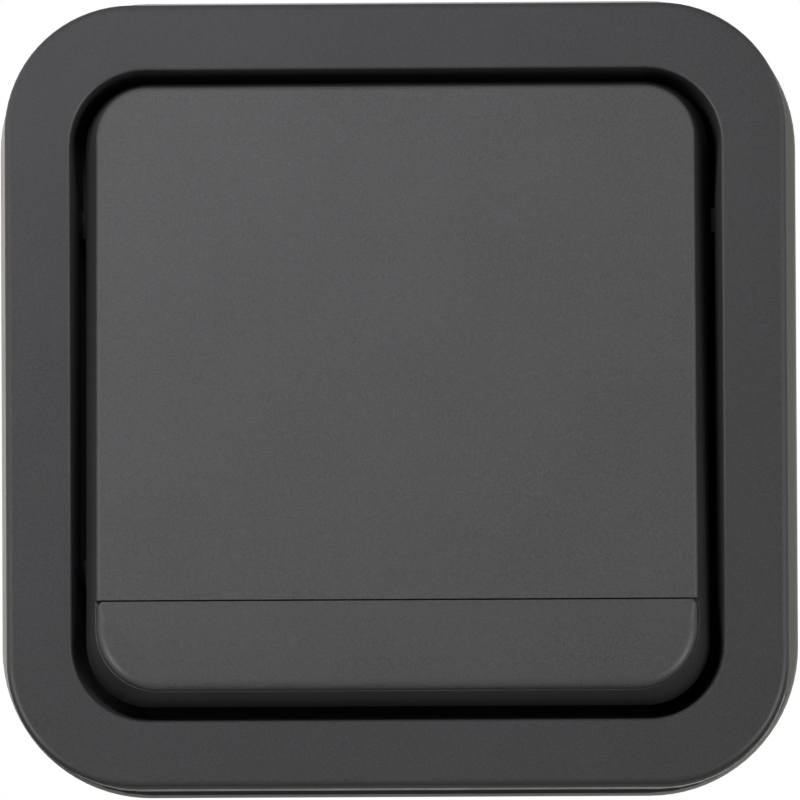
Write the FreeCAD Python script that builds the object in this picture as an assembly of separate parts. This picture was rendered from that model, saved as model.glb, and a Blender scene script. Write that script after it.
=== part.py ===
"""Outdoor weatherproof rocker switch for mounting on a wall.

A deep box is screwed to the wall and carries a two-way switch mechanism. A cover frame closes
it with a gasket. One large rocker turns in a well in the cover, and its two ribs push the
mechanism's actuator through a rubber membrane.

The pieces are built on the bench: the wall is the plane z = 0, the front faces +Z and Y is up.
The last step stands the switch up, so that in the files its front faces -Y and Z is up. The
origin is the middle of the box's back face. Lengths are in millimetres, angles in degrees.
"""
import FreeCAD, Part
import math
import os

# Cover frame
cover_side = 78.2
cover_corner_r = 12.7
cover_height = 14.0
cover_flare = 0.15
cover_front_t = 2.2
cover_edge_r = 0.8
border_width = 7.2
opening_edge_r = 1.0
well_corner_r = 6.9
well_wall_t = 1.6
deck_t = 2.0
lip_gap = 0.5
tongue_t = 1.4
cover_rib_t = 1.4
cover_rib_drop = 2.0
cover_rib_spacing = 20.0

# Box
box_depth = 37.5
box_step = 0.9
box_corner_r = 15.0
box_taper = 0.65
box_wall_t = 2.0
box_floor_t = 2.5
box_back_edge_r = 0.6
box_rim_edge_r = 0.2
rim_overlap = 1.0
shelf_width = 3.2
shelf_t = 2.0

# Gasket between the box and the cover
gasket_t = 2.0
gasket_width = 2.3
gasket_play = 0.2
tongue_play = 0.3

# Fixing slots in the box floor
slot_half_width = 2.25
slot_length = 9.0
slot_inset = 9.5
slot_collar_width = 2.4
slot_collar_t = 1.5

# Cable entries and their grommets
entry_wall_gap = 1.5
entry_flange_width = 2.0
entry_recess_t = 0.95
entry_boss_width = 3.0
entry_boss_t = 1.6
grommet_flange_t = 0.75
grommet_inner_t = 1.2
grommet_play = 0.15
grommet_web_t = 0.9
grommet_cone_inset = 3.4
grommet_cone_depth = 2.6

# Cover screws, their seals and posts
cover_screw_inset = 5.4
cover_screw_r = 1.75
cover_screw_head_r = 3.4
cover_screw_head_t = 1.5
cover_screw_length = 18.0
cover_screw_play = 0.35
seal_r = 3.7
seal_t = 0.8
cover_post_r = 3.6
post_web_t = 1.6
post_web_drop = 8.0
screw_core_play = 0.05
pilot_spare = 3.0
drive_slot_width = 0.9
drive_slot_t = 0.8

# Rocker
rocker_side_gap = 0.7
rocker_end_gap = 0.42
rocker_corner_r = 6.4
rocker_height = 9.5
rocker_rim_height = 3.3
rocker_side_draft = 11.8
rocker_end_draft = 11.7
face_upper_corner_r = 5.1
face_lower_corner_r = 6.3
rocker_edge_r = 0.5
rocker_wall_t = 2.0
rocker_top_t = 2.4
rest_tilt = 4.5
pivot_lift = 5.0
pin_r = 1.6
pin_play = 0.05
pin_tab_r = 2.6
pin_tab_flare = 0.9
pin_tab_t = 1.6
pin_overhang = 0.2
stiffener_x = 18.0
stiffener_t = 1.5
stiffener_height = 3.0

# Pivot ears on the deck, and the guide pads on the walls of the well
ear_t = 2.4
ear_half_width = 3.4
ear_side_gap = 0.8
ear_top = 2.6
ear_mouth = 1.25
ear_lead_in = 2.2
guide_pad_spacing = 35.0
guide_pad_half_length = 1.2
guide_pad_t = 0.35
guide_pad_height = 8.5

# Strip on the step at the rocker's lower end
strip_width = 10.03
strip_t = 1.0
strip_sink = 0.05
strip_inset = 0.1
strip_line = 0.16
strip_corner_cut = 0.4
strip_edge_r = 0.65
strip_peg_inset = 4.15
strip_peg_r = 1.2
strip_peg_length = 1.8
strip_peg_side = 9.7
strip_peg_play = 0.1
strip_bed_play = 0.02

# Rubber boot and its clamp
window_half_x = 18.5
window_half_y = 20.5
window_corner_r = 6.0
membrane_t = 1.0
membrane_rise = 1.6
dome_inset = 1.5
dome_slope = 3.0
dome_corner_r = 4.5
flange_width = 3.0
flange_corner_r = 8.0
clamp_t = 1.8
stake_r = 0.9
stake_play = 0.1
stake_y = 13.0
stake_head_r = 1.45
stake_head_t = 0.6

# Pusher ribs of the rocker
pusher_half_length = 9.0
pusher_t = 2.0
push_gap = 0.1
pusher_brace_t = 1.6
pusher_brace_height = 4.0

# Mechanism plate and its screws
plate_drop = 7.3
plate_t = 2.2
plate_overhang = 0.5
plate_window_half_x = 9.9
plate_window_half_y = 9.0
plate_window_r = 1.5
plate_tab_half_width = 7.0
plate_tab_reach = 4.5
mechanism_post_gap = 1.0
mechanism_post_r = 4.0
mechanism_screw_r = 1.5
mechanism_screw_head_r = 2.9
mechanism_screw_head_t = 1.8
mechanism_screw_length = 12.0
mechanism_hole_play = 0.25
bearing_t = 2.0
bearing_half_width = 3.0
bearing_top = 2.4
bearing_gap = 0.6

# Mechanism base
base_side = 42.0
base_height = 16.0
base_corner_r = 5.0
base_wall_t = 1.8
base_floor_t = 2.0
base_boss_r = 2.4
base_boss_inset = 3.2
base_stake_r = 1.2
base_stake_head_r = 1.9
base_stake_head_t = 0.7
base_stake_play = 0.05
pocket_rib_t = 1.2
pocket_play = 0.25

# Actuator
axis_lift = 1.8
trunnion_r = 1.6
actuator_half_width = 9.3
actuator_end_gap = 1.0
actuator_pad_t = 1.6
hub_half_width = 4.0
hub_drop = 2.6
actuator_web_t = 2.0
sleeve_r = 3.0
sleeve_length = 8.5
sleeve_bore_top = 1.6

# Plunger and its spring
plunger_reach = 11.0
plunger_nose_r = 1.5
plunger_r = 1.85
plunger_play = 0.05
plunger_body_length = 4.5
plunger_stem_r = 0.7
plunger_stem_length = 1.6
spring_wire_r = 0.2
spring_coil_r = 1.25
spring_turns = 4.5
spring_end_gap = 0.02

# Contact blade
blade_half_width = 3.5
blade_t = 0.8
blade_end = 2.0
blade_gap = 0.03
blade_notch = 0.4
notch_slope = 60.0
notch_play = 0.05
contact_inset = 10.0
contact_r = 1.6
contact_height = 0.7
contact_shank_r = 0.8
contact_head_r = 1.3
contact_head_t = 0.3
contact_play = 0.03

# Terminals and their cage clamps
terminal_t = 0.8
terminal_half_width = 2.2
terminal_bend_r = 0.4
terminal_shelf = 2.6
tongue_height = 5.6
knife_t = 1.2
knife_point = 0.8
cage_wall_gap = 0.4
cage_depth = 7.8
cage_half_width = 3.5
cage_height = 7.0
cage_wall_t = 1.2
cage_nut_t = 2.2
terminal_screw_r = 1.5
terminal_screw_head_r = 2.5
terminal_screw_head_t = 1.7
terminal_screw_length = 2.6
terminal_screw_height = 3.6
screw_access_play = 0.4
wire_hole_r = 1.6

# Small amounts that pieces of one moulding sink into each other
merge = 0.5

# Half widths across the wall
cover_half = cover_side / 2
cover_lip_half = cover_half + cover_flare
well_half = cover_half - border_width
well_outer_half = well_half + well_wall_t
rocker_half_x = well_half - rocker_side_gap
rocker_half_y = well_half - rocker_end_gap
strip_start = rocker_half_y - strip_width
strip_peg_x = rocker_half_x - strip_peg_side
strip_peg_y = strip_start + strip_peg_inset
box_half = cover_lip_half + box_step
box_back_half = box_half - box_taper
box_inner_half = box_half - box_wall_t
box_inner_r = box_corner_r - box_wall_t
tongue_half = box_inner_half - tongue_play
tongue_r = box_inner_r - tongue_play
skirt_inner_half = tongue_half - tongue_t
skirt_inner_r = tongue_r - tongue_t
base_half = base_side / 2
base_inner_half = base_half - base_wall_t

# Heights in front of the wall
lip_z = box_depth + lip_gap
front_z = lip_z + cover_height
deck_back_z = box_depth - rim_overlap
deck_z = deck_back_z + deck_t
tongue_z = deck_back_z - rim_overlap
shelf_z = tongue_z - gasket_t
pivot_z = deck_z + pivot_lift
membrane_top_z = deck_back_z + membrane_rise
clamp_z = deck_back_z - membrane_t - clamp_t
plate_z = deck_back_z - plate_drop
plate_back_z = plate_z - plate_t
base_back_z = plate_back_z - base_height
base_floor_z = base_back_z + base_floor_t
axis_z = plate_z + axis_lift

# Places worked out from the sizes above
cover_screw_xy = well_half - cover_screw_inset
ear_outer_x = rocker_half_x - rocker_wall_t - ear_side_gap
ear_inner_x = ear_outer_x - ear_t
mechanism_post_x = base_half + mechanism_post_gap + mechanism_post_r
bearing_x = actuator_half_width + bearing_gap
boss_xy = base_half - base_boss_inset
actuator_wing = window_half_y - dome_inset - dome_slope - membrane_t - actuator_end_gap
pusher_y = actuator_wing - pusher_t / 2
actuator_pad_height = membrane_top_z - membrane_t - push_gap - axis_z
knife_z = axis_z - plunger_reach - blade_gap - blade_t + blade_notch
contact_y = base_half - contact_inset
contact_drop = contact_y * math.sin(math.radians(rest_tilt))
contact_drop += (blade_notch + contact_height) * math.cos(math.radians(rest_tilt))
fixed_contact_z = knife_z - contact_drop - contact_play
terminal_shelf_z = fixed_contact_z - contact_height
cage_outer_x = base_inner_half - cage_wall_gap
cage_inner_x = cage_outer_x - cage_depth
cage_z = base_floor_z + terminal_t
cage_window_x = cage_inner_x + cage_wall_t
tongue_x = cage_window_x + terminal_bend_r
wire_x = (tongue_x + terminal_t + cage_outer_x - cage_nut_t) / 2
terminal_screw_z = cage_z + terminal_screw_height
slot_y = box_back_half - box_wall_t - slot_inset
entry_room = shelf_z - shelf_t - box_floor_t
entry_height = box_floor_t + entry_room / 2
entry_r = entry_room / 2 - entry_wall_gap - entry_boss_width
entry_recess_r = entry_r + entry_flange_width
grommet_cone_r = entry_r - grommet_cone_inset
grommet_tip_r = grommet_cone_r - grommet_cone_depth
entry_recess_y = box_back_half + box_taper * entry_height / box_depth - entry_recess_t
entry_boss_y = box_inner_half - entry_boss_t
flange_half_x = window_half_x + flange_width
flange_half_y = window_half_y + flange_width
stake_x = window_half_x + flange_width / 2

CORNERS = [(1, 1), (-1, 1), (-1, -1), (1, -1)]
V = FreeCAD.Vector
ORIGIN = V(0, 0, 0)
ALONG_X = V(1, 0, 0)
ALONG_Y = V(0, 1, 0)
ALONG_Z = V(0, 0, 1)


def outline(corners, origin=ORIGIN, across=ALONG_X, up=ALONG_Y):
    """Closed wire through corners given as (a, b, radius) on the plane of across and up."""
    turns = []
    for i, (a, b, radius) in enumerate(corners):
        here = V(a, b, 0)
        before = V(*corners[i - 1][:2], 0)
        after = V(*corners[(i + 1) % len(corners)][:2], 0)
        back = (before - here).normalize()
        ahead = (after - here).normalize()
        half_angle = back.getAngle(ahead) / 2
        reach = radius / math.tan(half_angle)
        inward = (back + ahead).normalize() * (radius / math.sin(half_angle) - radius)
        turns.append((here + back * reach, here + inward, here + ahead * reach))

    def on_plane(point):
        return origin + across * point.x + up * point.y

    edges = []
    for i, (start, middle, end) in enumerate(turns):
        if start.distanceToPoint(end) > 1e-6:
            edges.append(Part.Arc(on_plane(start), on_plane(middle), on_plane(end)).toShape())
        following = turns[(i + 1) % len(turns)][0]
        if end.distanceToPoint(following) > 1e-6:
            edges.append(Part.LineSegment(on_plane(end), on_plane(following)).toShape())
    return Part.Wire(edges)


def rectangle(half_x, half_y, radius):
    """Corner list of a rectangle around the origin."""
    return [(sx * half_x, sy * half_y, radius) for sx, sy in CORNERS]


def block(half_x, half_y, radius, low, high):
    """Upright block with rounded corners, around the Z axis."""
    face = Part.Face(outline(rectangle(half_x, half_y, radius), V(0, 0, low)))
    return face.extrude(V(0, 0, high - low))


def tube(half_x, half_y, radius, wall, low, high):
    """Upright tube of rounded rectangular section, with its wall inside the outline."""
    hole = block(half_x - wall, half_y - wall, radius - wall, low, high)
    return block(half_x, half_y, radius, low, high).cut(hole)


def tapered_block(low_corners, low, high_corners, high):
    """Block whose outline changes evenly from its low to its high face."""
    wires = [outline(low_corners, V(0, 0, low)), outline(high_corners, V(0, 0, high))]
    return Part.makeLoft(wires, True, True)


def square(half, radius):
    """Corner list of a square around the origin."""
    return rectangle(half, half, radius)


def bar(x_range, y_range, z_range):
    """Plain bar between two places on each axis."""
    low = V(min(x_range), min(y_range), min(z_range))
    high = V(max(x_range), max(y_range), max(z_range))
    size = high - low
    return Part.makeBox(size.x, size.y, size.z, low)


def rod(radius, start, direction, length):
    """Round rod from a start point."""
    return Part.makeCylinder(radius, length, start, direction)


def prism_along_x(corners, x_low, x_high):
    """Bar whose section is drawn in Y and Z, from x_low to x_high."""
    face = Part.Face(outline(corners, V(x_low, 0, 0), ALONG_Y, ALONG_Z))
    return face.extrude(V(x_high - x_low, 0, 0))


def turned(profile, centre, direction):
    """Solid of revolution of (radius, height) points about an axis through centre."""
    points = [V(radius, 0, height) for radius, height in profile]
    face = Part.Face(Part.makePolygon(points + points[:1]))
    solid = face.revolve(ORIGIN, ALONG_Z, 360)
    solid.Placement = FreeCAD.Placement(centre, FreeCAD.Rotation(ALONG_Z, direction))
    return solid


def rounded_edges(shape, radius, wanted):
    """Round each edge of the shape for which wanted(edge) holds."""
    return shape.makeFillet(radius, [edge for edge in shape.Edges if wanted(edge)])


def lies_at(edge, z):
    """True where both ends of the edge are at this height."""
    return all(abs(vertex.Z - z) < 1e-4 for vertex in edge.Vertexes)


def reach_of(edge):
    """Largest distance of the edge's ends from the middle, across the wall."""
    return max(max(abs(vertex.X), abs(vertex.Y)) for vertex in edge.Vertexes)


def joined(first, *others):
    """One solid from pieces of the same moulding."""
    return first.multiFuse(list(others)).removeSplitter()


def at_corners(x, y):
    """The four places (x, y) mirrored about both middle lines."""
    return [V(sx * x, sy * y, 0) for sx, sy in CORNERS]


def slotted_screw(radius, length, head_r, head_t, seat, outward):
    """Screw with a slotted cheese head that sits at seat and looks outward."""
    shank = rod(radius, ORIGIN, V(0, 0, -1), length)
    head = rod(head_r, ORIGIN, ALONG_Z, head_t)
    slot = bar((-head_r, head_r), (-drive_slot_width / 2, drive_slot_width / 2),
               (head_t - drive_slot_t, head_t))
    screw = joined(shank, head).cut(slot)
    screw.Placement = FreeCAD.Placement(seat, FreeCAD.Rotation(ALONG_Z, outward))
    return screw


def box_half_at(z):
    """Half width of the box's outside at this height."""
    return box_back_half + box_taper * z / box_depth


def post(x, y, radius, high, bore_r, bore_length):
    """Screw post on the box floor, and the bore to cut in it."""
    foot = V(x, y, box_floor_t - merge)
    solid = rod(radius, foot, ALONG_Z, high - foot.z)
    bore = rod(bore_r, V(x, y, high), V(0, 0, -1), bore_length)
    return solid, bore


def back_box():
    """Box with its rim shelf, posts, fixing slots and cable entries."""
    back_r = box_corner_r - box_taper
    outer = tapered_block(square(box_back_half, back_r), 0,
                          square(box_half, box_corner_r), box_depth)
    outer = rounded_edges(outer, box_back_edge_r, lambda edge: lies_at(edge, 0))
    outer = rounded_edges(outer, box_rim_edge_r, lambda edge: lies_at(edge, box_depth))
    floor_half = box_half_at(box_floor_t) - box_wall_t
    cavity = tapered_block(square(floor_half, back_r - box_wall_t), box_floor_t,
                           square(box_inner_half, box_inner_r), box_depth)
    shell = outer.cut(cavity)

    shelf_half = box_half_at(shelf_z) - merge
    shelf = tube(shelf_half, shelf_half, box_corner_r - merge,
                 shelf_width + box_wall_t - merge, shelf_z - shelf_t, shelf_z)
    added = [shelf]
    removed = []

    screw_depth = cover_screw_length - deck_t - seal_t + pilot_spare
    web_top = shelf_z - post_web_drop
    for place in at_corners(cover_screw_xy, cover_screw_xy):
        solid, bore = post(place.x, place.y, cover_post_r, deck_back_z,
                           cover_screw_r + screw_core_play, screw_depth)
        wall_x = math.copysign(floor_half + merge, place.x)
        web = bar((place.x, wall_x), (place.y - post_web_t / 2, place.y + post_web_t / 2),
                  (box_floor_t - merge, web_top))
        added += [solid, web]
        removed.append(bore)
    for side in (1, -1):
        x = side * mechanism_post_x
        solid, bore = post(x, 0, mechanism_post_r, plate_back_z,
                           mechanism_screw_r + screw_core_play,
                           mechanism_screw_length - plate_t + pilot_spare)
        web = bar((x, side * (floor_half + merge)), (-post_web_t / 2, post_web_t / 2),
                  (box_floor_t - merge, web_top))
        added += [solid, web]
        removed.append(bore)

    for side in (1, -1):
        collar, slot = fixing_slot(side)
        boss, hole = cable_entry(side)
        added += [collar, boss]
        removed += [slot, hole]
    return joined(shell, *added).cut(removed)


def fixing_slot(side):
    """Collar and through slot for one wall screw."""
    half_length = slot_length / 2
    wide = slot_half_width + slot_collar_width
    collar = block(wide, half_length + slot_collar_width, wide,
                   box_floor_t - merge, box_floor_t + slot_collar_t)
    slot = block(slot_half_width, half_length, slot_half_width, 0, box_floor_t + slot_collar_t)
    for shape in (collar, slot):
        shape.translate(V(0, side * slot_y, 0))
    return collar, slot


def cable_entry(side):
    """Inner boss of one cable entry, and the stepped hole to cut through it."""
    outward = V(0, side, 0)
    boss = rod(entry_r + entry_boss_width, V(0, side * entry_boss_y, entry_height), outward,
               box_back_half - merge - entry_boss_y)
    hole = rod(entry_r, V(0, side * entry_boss_y, entry_height), outward, entry_boss_y)
    recess = rod(entry_recess_r, V(0, side * entry_recess_y, entry_height), outward,
                 entry_recess_r)
    return boss, hole.fuse(recess)


def grommet(side):
    """Rubber plug in a cable entry: two flanges, a neck and a thin cone to pierce."""
    neck_r = entry_r - grommet_play
    outer_r = entry_recess_r - grommet_play
    inner_r = entry_r + entry_boss_width / 2
    neck_length = entry_recess_y - entry_boss_y
    top = neck_length + grommet_flange_t
    web_top = top - grommet_web_t
    profile = [
        (0, web_top - grommet_cone_r + grommet_tip_r),
        (grommet_tip_r, web_top - grommet_cone_r + grommet_tip_r),
        (grommet_cone_r, web_top),
        (neck_r - grommet_web_t * 2, web_top),
        (neck_r - grommet_web_t * 2, top),
        (outer_r, top),
        (outer_r, neck_length),
        (neck_r, neck_length),
        (neck_r, 0),
        (inner_r, 0),
        (inner_r - grommet_inner_t / 2, -grommet_inner_t),
        (neck_r - grommet_web_t * 2, -grommet_inner_t),
        (neck_r - grommet_web_t * 2, web_top - grommet_web_t),
        (grommet_cone_r, web_top - grommet_web_t),
        (grommet_tip_r, web_top - grommet_cone_r + grommet_tip_r - grommet_web_t),
        (0, web_top - grommet_cone_r + grommet_tip_r - grommet_web_t),
    ]
    return turned(profile, V(0, side * entry_boss_y, entry_height), V(0, side, 0))


def box_gasket():
    """Square rubber ring on the shelf of the box."""
    half = box_half_at(shelf_z) - box_wall_t - gasket_play
    return tube(half, half, box_inner_r - gasket_play, gasket_width, shelf_z, tongue_z)


def cover_shell():
    """Front face, outer skirt and tongue, open to the back between skirt and well."""
    ring = tapered_block(square(cover_lip_half, cover_corner_r + cover_flare), lip_z,
                         square(cover_half, cover_corner_r), front_z)
    ring = ring.cut(block(well_half, well_half, well_corner_r, lip_z, front_z))
    ring = rounded_edges(ring, cover_edge_r,
                         lambda edge: lies_at(edge, front_z) and reach_of(edge) > well_half + 1)
    ring = rounded_edges(ring, opening_edge_r,
                         lambda edge: lies_at(edge, front_z) and reach_of(edge) < well_half + 1)
    tongue = tube(tongue_half, tongue_half, tongue_r, tongue_t, tongue_z, lip_z)
    inside = block(skirt_inner_half, skirt_inner_half, skirt_inner_r,
                   lip_z, front_z - cover_front_t)
    well_core = block(well_outer_half, well_outer_half, well_corner_r + well_wall_t,
                      lip_z, front_z - cover_front_t)
    return joined(ring.cut(inside.cut(well_core)), tongue)


def cover_ribs():
    """Short walls that tie the skirt to the well, three on each side."""
    ribs = []
    for turn in range(4):
        for step in (-1, 0, 1):
            y = step * cover_rib_spacing
            rib = bar((well_outer_half - merge, skirt_inner_half + merge),
                      (y - cover_rib_t / 2, y + cover_rib_t / 2),
                      (lip_z + cover_rib_drop, front_z - cover_front_t + merge))
            rib.rotate(ORIGIN, ALONG_Z, 90 * turn)
            ribs.append(rib)
    return ribs


def pivot_ear(side):
    """Ear that a pin of the rocker snaps into: a bore with a mouth at its top."""
    corners = [
        (ear_half_width, deck_z - merge, 0),
        (ear_half_width, pivot_z + ear_top, merge),
        (-ear_half_width, pivot_z + ear_top, merge),
        (-ear_half_width, deck_z - merge, 0),
    ]
    low, high = sorted((side * ear_inner_x, side * ear_outer_x))
    ear = prism_along_x(corners, low, high)
    bore = rod(pin_r + pin_play, V(low, 0, pivot_z), ALONG_X, high - low)
    mouth = prism_along_x([
        (ear_mouth, pivot_z, 0),
        (ear_mouth, pivot_z + pin_r, 0),
        (ear_lead_in, pivot_z + ear_top, 0),
        (-ear_lead_in, pivot_z + ear_top, 0),
        (-ear_mouth, pivot_z + pin_r, 0),
        (-ear_mouth, pivot_z, 0),
    ], low, high)
    return ear.cut([bore, mouth])


def guide_pads():
    """Four low pads on the side walls of the well that keep the rocker in the middle."""
    pads = []
    for place in at_corners(well_half, guide_pad_spacing / 2):
        inner_x = math.copysign(well_half - guide_pad_t, place.x)
        outer_x = math.copysign(well_half + merge, place.x)
        pads.append(bar((inner_x, outer_x),
                        (place.y - guide_pad_half_length, place.y + guide_pad_half_length),
                        (deck_z - merge, deck_z + guide_pad_height)))
    return pads


def stakes():
    """Four pegs under the deck whose melted heads hold the clamp ring."""
    pegs = []
    for place in at_corners(stake_x, stake_y):
        head_z = clamp_z - stake_head_t
        peg = rod(stake_r, V(place.x, place.y, head_z), ALONG_Z, deck_back_z + merge - head_z)
        head = rod(stake_head_r, V(place.x, place.y, head_z), ALONG_Z, stake_head_t)
        pegs += [peg, head]
    return pegs


def cover_frame():
    """Cover with its well, the deck under the rocker, ears, pads, ribs and stakes."""
    well = tube(well_outer_half, well_outer_half, well_corner_r + well_wall_t, well_wall_t,
                deck_back_z, lip_z)
    deck = block(well_outer_half, well_outer_half, well_corner_r + well_wall_t,
                 deck_back_z, deck_z)
    deck = deck.cut(block(window_half_x, window_half_y, window_corner_r, deck_back_z, deck_z))
    holes = [rod(cover_screw_r + cover_screw_play, V(place.x, place.y, deck_back_z),
                 ALONG_Z, deck_t) for place in at_corners(cover_screw_xy, cover_screw_xy)]
    added = [well, deck, pivot_ear(1), pivot_ear(-1)] + cover_ribs() + guide_pads() + stakes()
    return joined(cover_shell(), *added).cut(holes)


def cover_screws():
    """Four screws that pull the cover onto the box."""
    return Part.makeCompound([
        slotted_screw(cover_screw_r, cover_screw_length, cover_screw_head_r,
                      cover_screw_head_t, V(place.x, place.y, deck_z + seal_t), ALONG_Z)
        for place in at_corners(cover_screw_xy, cover_screw_xy)])


def screw_seals():
    """Four rubber washers between the screw heads and the deck."""
    seals = []
    for place in at_corners(cover_screw_xy, cover_screw_xy):
        foot = V(place.x, place.y, deck_z)
        washer = rod(seal_r, foot, ALONG_Z, seal_t)
        hole = rod(cover_screw_r + screw_core_play, foot, ALONG_Z, seal_t)
        seals.append(washer.cut(hole))
    return Part.makeCompound(seals)


def in_rocker_pose(shape):
    """Move a piece from the rocker's own frame, pivot at the origin, to its rest place."""
    shape.rotate(ORIGIN, ALONG_X, -rest_tilt)
    shape.translate(V(0, 0, pivot_z))
    return shape


def rocker_corners(height, inset):
    """Outline of the rocker's sides at this height above its pivot, drawn in by an inset."""
    rise = height - rocker_rim_height
    half_x = rocker_half_x - rise * math.tan(math.radians(rocker_side_draft)) - inset
    half_y = rocker_half_y - rise * math.tan(math.radians(rocker_end_draft)) - inset
    share = rise / (rocker_height - rocker_rim_height)
    upper_r = rocker_corner_r + share * (face_upper_corner_r - rocker_corner_r) - inset
    lower_r = rocker_corner_r + share * (face_lower_corner_r - rocker_corner_r) - inset
    return [(half_x, half_y, upper_r), (-half_x, half_y, upper_r),
            (-half_x, -half_y, lower_r), (half_x, -half_y, lower_r)]


def strip_corners(height):
    """Outline of the strip at this height: a straight upper edge with its corners cut."""
    right, left = rocker_corners(height, strip_inset)[3:1:-1]
    inner = right[0] - strip_corner_cut
    side_y = -strip_start - strip_corner_cut
    return [(right[0], side_y, 0), (inner, -strip_start, 0), (-inner, -strip_start, 0),
            (left[0], side_y, 0), left, right]


def strip_pegs(radius):
    """Two pegs under the strip, in the rocker's own frame."""
    low = rocker_height - strip_sink - strip_t - strip_peg_length
    return [rod(radius, V(side * strip_peg_x, -strip_peg_y, low), ALONG_Z,
                strip_peg_length + strip_t / 2) for side in (1, -1)]


def rocker_strip():
    """Blank strip that caps the lower end of the rocker, rounded at its three free edges."""
    top = rocker_height - strip_sink
    seat = top - strip_t
    plate = tapered_block(strip_corners(seat), seat, strip_corners(top), top)
    plate = rounded_edges(plate, strip_edge_r, lambda edge: lies_at(edge, top) and all(
        vertex.Y < -strip_start - strip_corner_cut + 1e-4 for vertex in edge.Vertexes))
    return in_rocker_pose(joined(plate, *strip_pegs(strip_peg_r)))


def rocker_shell():
    """Drafted cap with rounded front edges, hollow from the back."""
    cap = tapered_block(rocker_corners(rocker_rim_height, 0), rocker_rim_height,
                        rocker_corners(rocker_height, 0), rocker_height)
    cap = rounded_edges(cap, rocker_edge_r, lambda edge: lies_at(edge, rocker_height))
    roof = rocker_height - rocker_top_t
    hollow = tapered_block(rocker_corners(rocker_rim_height, rocker_wall_t), rocker_rim_height,
                           rocker_corners(roof, rocker_wall_t), roof)
    return cap.cut(hollow)


def pivot_pins():
    """Tab below the middle of each side wall, and its pin, on the rocker's own pivot line."""
    pieces = []
    top = rocker_rim_height + merge
    foot = pin_tab_r + pin_tab_flare
    for side in (1, -1):
        inner_x = side * (rocker_half_x - rocker_wall_t)
        outer_x = inner_x + side * pin_tab_t
        tab = prism_along_x([
            (foot, top, 0), (pin_tab_r, 0, 0), (pin_tab_r, -pin_tab_r, pin_tab_r * 0.99),
            (-pin_tab_r, -pin_tab_r, pin_tab_r * 0.99), (-pin_tab_r, 0, 0), (-foot, top, 0),
        ], *sorted((inner_x, outer_x)))
        tip_x = side * (ear_inner_x - pin_overhang)
        pin = rod(pin_r, V(tip_x, 0, 0), V(side, 0, 0), abs(inner_x - tip_x) + merge)
        pieces += [tab, pin]
    return pieces


def pusher_ribs():
    """Two round-nosed ribs that press on the membrane, and the braces between them."""
    roof = rocker_height - rocker_top_t
    tip = membrane_top_z + push_gap - pivot_z
    pieces = []
    for side in (1, -1):
        y = side * pusher_y
        corners = [(y - pusher_t / 2, roof + merge, 0),
                   (y - pusher_t / 2, tip, pusher_t * 0.49),
                   (y + pusher_t / 2, tip, pusher_t * 0.49),
                   (y + pusher_t / 2, roof + merge, 0)]
        pieces.append(prism_along_x(corners, -pusher_half_length, pusher_half_length))
        brace_x = side * (pusher_half_length - pusher_brace_t / 2)
        pieces.append(bar((brace_x - pusher_brace_t / 2, brace_x + pusher_brace_t / 2),
                          (-pusher_y, pusher_y), (roof - pusher_brace_height, roof + merge)))
    return pieces


def stiffeners():
    """Two long low ribs under the rocker's face."""
    roof = rocker_height - rocker_top_t
    end = rocker_half_y - rocker_wall_t
    return [bar((side * stiffener_x - stiffener_t / 2, side * stiffener_x + stiffener_t / 2),
                (-end, end), (roof - stiffener_height, roof + merge)) for side in (1, -1)]


def rocker():
    """The large key: cap, pivot pins, pusher ribs and the step for its strip."""
    seat = rocker_height - strip_sink - strip_t - strip_bed_play
    step = bar((-rocker_half_x, rocker_half_x), (-rocker_half_y, strip_line - strip_start),
               (seat, rocker_height + merge))
    body = joined(rocker_shell(), *pivot_pins(), *pusher_ribs(), *stiffeners())
    return in_rocker_pose(body.cut([step] + strip_pegs(strip_peg_r + strip_peg_play)))


def tilted_wire(half_x, half_y, radius, height):
    """Rounded rectangle that rides on the actuator, this high above its axis, at rest."""
    wire = outline(rectangle(half_x, half_y, radius), V(0, 0, height))
    wire.rotate(ORIGIN, ALONG_X, -rest_tilt)
    wire.translate(V(0, 0, axis_z))
    return wire


def dome(shrink):
    """Raised middle of the membrane, whose flat top leans with the actuator."""
    foot_x = window_half_x - dome_inset - shrink
    foot_y = window_half_y - dome_inset - shrink
    foot = outline(rectangle(foot_x, foot_y, dome_corner_r), V(0, 0, deck_back_z - membrane_t))
    top = tilted_wire(foot_x - dome_slope, foot_y - dome_slope, dome_corner_r,
                      membrane_top_z - axis_z - shrink)
    return Part.makeLoft([foot, top], True, True)


def membrane():
    """Rubber boot: a flat flange under the deck and a dome through its window."""
    flange = block(flange_half_x, flange_half_y, flange_corner_r,
                   deck_back_z - membrane_t, deck_back_z)
    holes = [rod(stake_r + stake_play, V(place.x, place.y, deck_back_z - membrane_t),
                 ALONG_Z, membrane_t) for place in at_corners(stake_x, stake_y)]
    return joined(flange, dome(0)).cut([dome(membrane_t)] + holes)


def membrane_clamp():
    """Ring that holds the flange of the membrane against the deck."""
    ring = block(flange_half_x, flange_half_y, flange_corner_r, clamp_z, clamp_z + clamp_t)
    opening = block(window_half_x - dome_inset, window_half_y - dome_inset, dome_corner_r,
                    clamp_z, clamp_z + clamp_t)
    holes = [rod(stake_r + stake_play, V(place.x, place.y, clamp_z), ALONG_Z, clamp_t)
             for place in at_corners(stake_x, stake_y)]
    return ring.cut([opening] + holes)


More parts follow.
